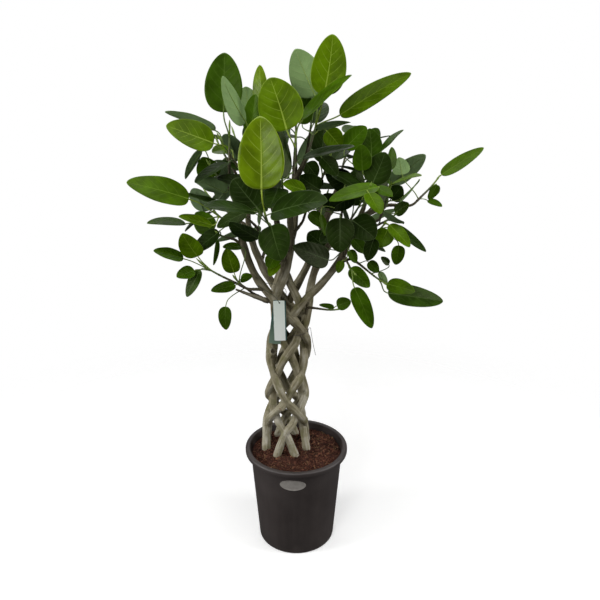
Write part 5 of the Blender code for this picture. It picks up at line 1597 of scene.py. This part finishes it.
def fibre_mesh(places, waves, draw):
    """Thin curved fibres of coir."""
    template = rod(*FIBRE_ROD)
    placed, shades = [], []
    for x, y in places:
        length, turn = draw.uniform(*FIBRE_LENGTH), draw.uniform(0, 6.3)
        bow = draw.uniform(-0.35, 0.35)
        high = float(soil_height(np.array(x), np.array(y), waves))
        route = []
        for k in range(7):
            far = (k / 6 - 0.5) * length
            aside = bow * length * (1 - (k / 3 - 1) ** 2)
            route.append((x + far * math.cos(turn) - aside * math.sin(turn),
                          y + far * math.sin(turn) + aside * math.cos(turn),
                          high + 0.0012 + draw.uniform(0, 0.0026)))
        reach = max(math.hypot(a, b) for a, b, _ in route)
        if reach > wall_radius(SOIL_EDGE) - POT_WALL - 0.0016:
            continue
        mesh = carried(template, route, FIBRE_RADII)
        placed.append(spots_of(mesh))
        bpy.data.meshes.remove(mesh)
        shades.append(draw.choice(FIBRE_SHADES))
    return strewn_mesh(template, placed, shades)


def make_card(name, node, length, turn, push, layers, surface, slot):
    """A card of the hang tag, with round corners and a punched hole, bowed a little."""
    bpy.ops.mesh.primitive_cube_add(size=1, location=(0, 0, 0))
    card = bpy.context.object
    card.name = name
    thick = TAG_THICKNESS / layers

    def shape(made):
        bpy.ops.transform.resize(value=(TAG_WIDTH, thick * 0.8, length))
        picked(made, "edges", lambda e: abs(e.verts[0].co.y - e.verts[1].co.y) > 0.5 * thick)
        bpy.ops.mesh.bevel(offset=TAG_CORNER, segments=4)
        pick_all()

    edited(card, shape)
    sheets = [card] + [shown(name, card.data.copy()) for _ in range(1, layers)]
    for layer, sheet in enumerate(sheets):
        back = (layer - (layers - 1) / 2) * thick
        sheet.data.transform(Matrix.Translation((0, back, TAG_HOLE_DROP - length / 2)))
        bpy.ops.mesh.primitive_cylinder_add(vertices=32, radius=TAG_HOLE_RADIUS, depth=0.02,
                                            location=(0, 0, 0), rotation=(math.pi / 2, 0, 0))
        drilled(sheet, bpy.context.object)
        edited(sheet, slice_card)
        spots = spots_of(sheet.data)
        hang = np.clip(-spots[:, 2] / TAG_LENGTH, 0, 1)
        bow = TAG_BOW * (spots[:, 0] / (TAG_WIDTH / 2)) ** 2 * hang
        spread = TAG_SPREAD * layer * (spots[:, 0] / TAG_WIDTH - 0.5) * hang
        spots[:, 1] += bow - spread
        put(sheet.data, spots)
    card = joined(name, sheets)
    spin = Matrix.Rotation(math.radians(turn), 4, "Y")
    card.data.transform(Matrix.Translation(TAG_HOLE + Vector((0, push, 0))) @ spin)
    finished(card, slot, node, surface=surface, sharp=CARD_SHARP_ANGLE)


def slice_card(made):
    """Cuts a card across and along, so that it can bow."""
    for k in range(1, TAG_BANDS):
        height = TAG_HOLE_DROP - TAG_LENGTH * k / TAG_BANDS
        pick_all()
        bpy.ops.mesh.bisect(plane_co=(0, 0, height), plane_no=(0, 0, 1))
    for k in range(1, TAG_STRIPS):
        pick_all()
        aside = (k / TAG_STRIPS - 0.5) * TAG_WIDTH
        bpy.ops.mesh.bisect(plane_co=(aside, 0, 0), plane_no=(1, 0, 0))


def make_string(surface):
    """The string's closed loop, a long ring laid along its route."""
    closed = STRING_POINTS[-1:] + STRING_POINTS + STRING_POINTS[:2]
    route = smooth_route(closed, 12)[12:-23]
    bpy.ops.mesh.primitive_torus_add(major_segments=STRING_RINGS, minor_segments=STRING_SIDES,
                                     major_radius=1, minor_radius=0.1, location=(0, 0, 0))
    string = bpy.context.object
    string.name = "tag_loop"
    local = spots_of(string.data)
    share = (np.arctan2(local[:, 1], local[:, 0]) / (2 * math.pi)) % 1
    angle = np.arctan2(local[:, 2], np.hypot(local[:, 0], local[:, 1]) - 1)
    marks = np.arange(STRING_RINGS) / STRING_RINGS
    ring = np.round(share * STRING_RINGS).astype(int) % STRING_RINGS
    spots, far = wrapped(route, marks, ring, -angle, STRING_RADIUS)
    put(string.data, spots)
    mark(string.data, "grain", np.stack([np.cos(angle), np.sin(angle), far], axis=1))
    edited(string, lambda made: bpy.ops.mesh.normals_make_consistent(inside=False))
    finished(string, "string", "tag_string", surface=surface)


def make_wire(surface):
    """The tie wire: once round two crossing stems, with a loose end."""
    loop = []
    steps = 3 * WIRE_LOOP_PIECES
    for k in range(steps + 1):
        angle = math.radians(between(*WIRE_LOOP_TURN, k / steps))
        out = Vector((math.cos(angle), math.sin(angle), WIRE_LOOP_TILT * math.cos(angle)))
        loop.append(WIRE_MIDDLE + out * WIRE_LOOP_RADIUS)
    loose = [loop[0] + Vector(step) for step in WIRE_LOOSE_END]
    route = smooth_route(loose, 8)[:-1] + loop
    mesh = carried(rod(*WIRE_ROD), route, [WIRE_RADIUS, WIRE_RADIUS])
    finished(shown("wire_tie", mesh), "wire_grey", "tie_wire", surface=surface)


def area_light(name, place, size, power):
    """A soft lamp that looks at the plant."""
    bpy.ops.object.light_add(type="AREA", location=place)
    lamp = bpy.context.object
    lamp.name = name
    lamp.data.shape = "RECTANGLE"
    lamp.data.size, lamp.data.size_y = size
    lamp.data.energy = power
    lamp.rotation_euler = (Vector(LAMP_AIM) - Vector(place)).to_track_quat("-Z", "Y").to_euler()
    lamp.visible_glossy = name != "front fill"


def make_studio():
    """Camera, soft lamps, a dim room that the camera sees as white, and the floor."""
    bpy.ops.object.camera_add(location=CAMERA_PLACE,
                              rotation=(math.radians(90 - CAMERA_DOWN), 0, 0))
    camera = bpy.context.object
    camera.data.sensor_width = CAMERA_SENSOR
    camera.data.lens = CAMERA_LENS
    bpy.context.scene.camera = camera
    for lamp in LAMPS:
        area_light(*lamp)
    world = bpy.data.worlds.new("studio")
    bpy.context.scene.world = world
    world.use_nodes = True
    tree = world.node_tree
    room = tree.nodes["Background"]
    room.inputs["Color"].default_value = (1, 1, 1, 1)
    room.inputs["Strength"].default_value = ROOM_LIGHT
    paper = tree.nodes.new("ShaderNodeBackground")
    paper.inputs["Color"].default_value = (1, 1, 1, 1)
    either = tree.nodes.new("ShaderNodeMixShader")
    rays = tree.nodes.new("ShaderNodeLightPath")
    tree.links.new(rays.outputs["Is Camera Ray"], either.inputs[0])
    tree.links.new(room.outputs[0], either.inputs[1])
    tree.links.new(paper.outputs[0], either.inputs[2])
    tree.links.new(either.outputs[0], tree.nodes["World Output"].inputs["Surface"])
    make_floor()


def make_floor():
    """A plain pale floor that fades out round the plant and glows a little."""
    bpy.ops.mesh.primitive_circle_add(vertices=64, radius=FLOOR_RADIUS, fill_type="NGON",
                                      location=(0, 0, 0))
    floor = bpy.context.object
    floor.name = "floor"
    s = Surface("floor_paper", roughness=0.7)
    place = s.place()
    mottle = s.noise(place, 3.0, 2.0)
    s.feed("Base Color", s.stops(mottle, [(0.3, (0.86, 0.86, 0.855)), (0.7, (0.88, 0.88, 0.875))]))
    s.feed("Emission Color", s.stops(mottle, [(0.3, (0.99,) * 3), (0.7, (1.0,) * 3)]))
    s.shader.inputs["Emission Strength"].default_value = FLOOR_GLOW
    x, y = s.parts(place)[:2]
    s.feed("Alpha", s.ease((x * x + y * y).maths("SQRT"), *FLOOR_FADE, 1.0, 0.0))
    floor.data.materials.append(s.made)
    floor.visible_glossy = False
    floor.visible_diffuse = False


def main():
    """Builds the studio, then each piece of the plant."""
    for chosen in bpy.context.selected_objects:
        chosen.select_set(False)
    make_studio()
    skins = (leaf_face(), leaf_back(), stalk_skin(), shoot_skin())
    stems = [stem_route(branch) for branch in BRANCHES]
    shoots = settled(all_shoots(), stems)
    make_sprays(shoots, {skin.name: skin for skin in skins})
    make_trunk(shoots, stems, bark_skin())
    make_soil(coir_skin())
    make_pot(pot_skin())
    make_badge(badge_skin())
    pale = card_skin("pale_card", TAG_PALE_STOPS, TAG_SPINE)
    teal = card_skin("teal_card", TAG_TEAL_AND_SHEEN_STOPS)
    make_card("front_card", "tag_front", TAG_LENGTH, TAG_FRONT_TURN, 0, TAG_LAYERS, pale,
              "tag_pale")
    make_card("back_card", "tag_back", TAG_BACK_LENGTH, TAG_BACK_TURN, TAG_BACK_PUSH, 1, teal,
              "tag_teal")
    make_string(string_skin())
    make_wire(wire_skin())


main()
bpy.context.scene.view_settings.view_transform = "Standard"
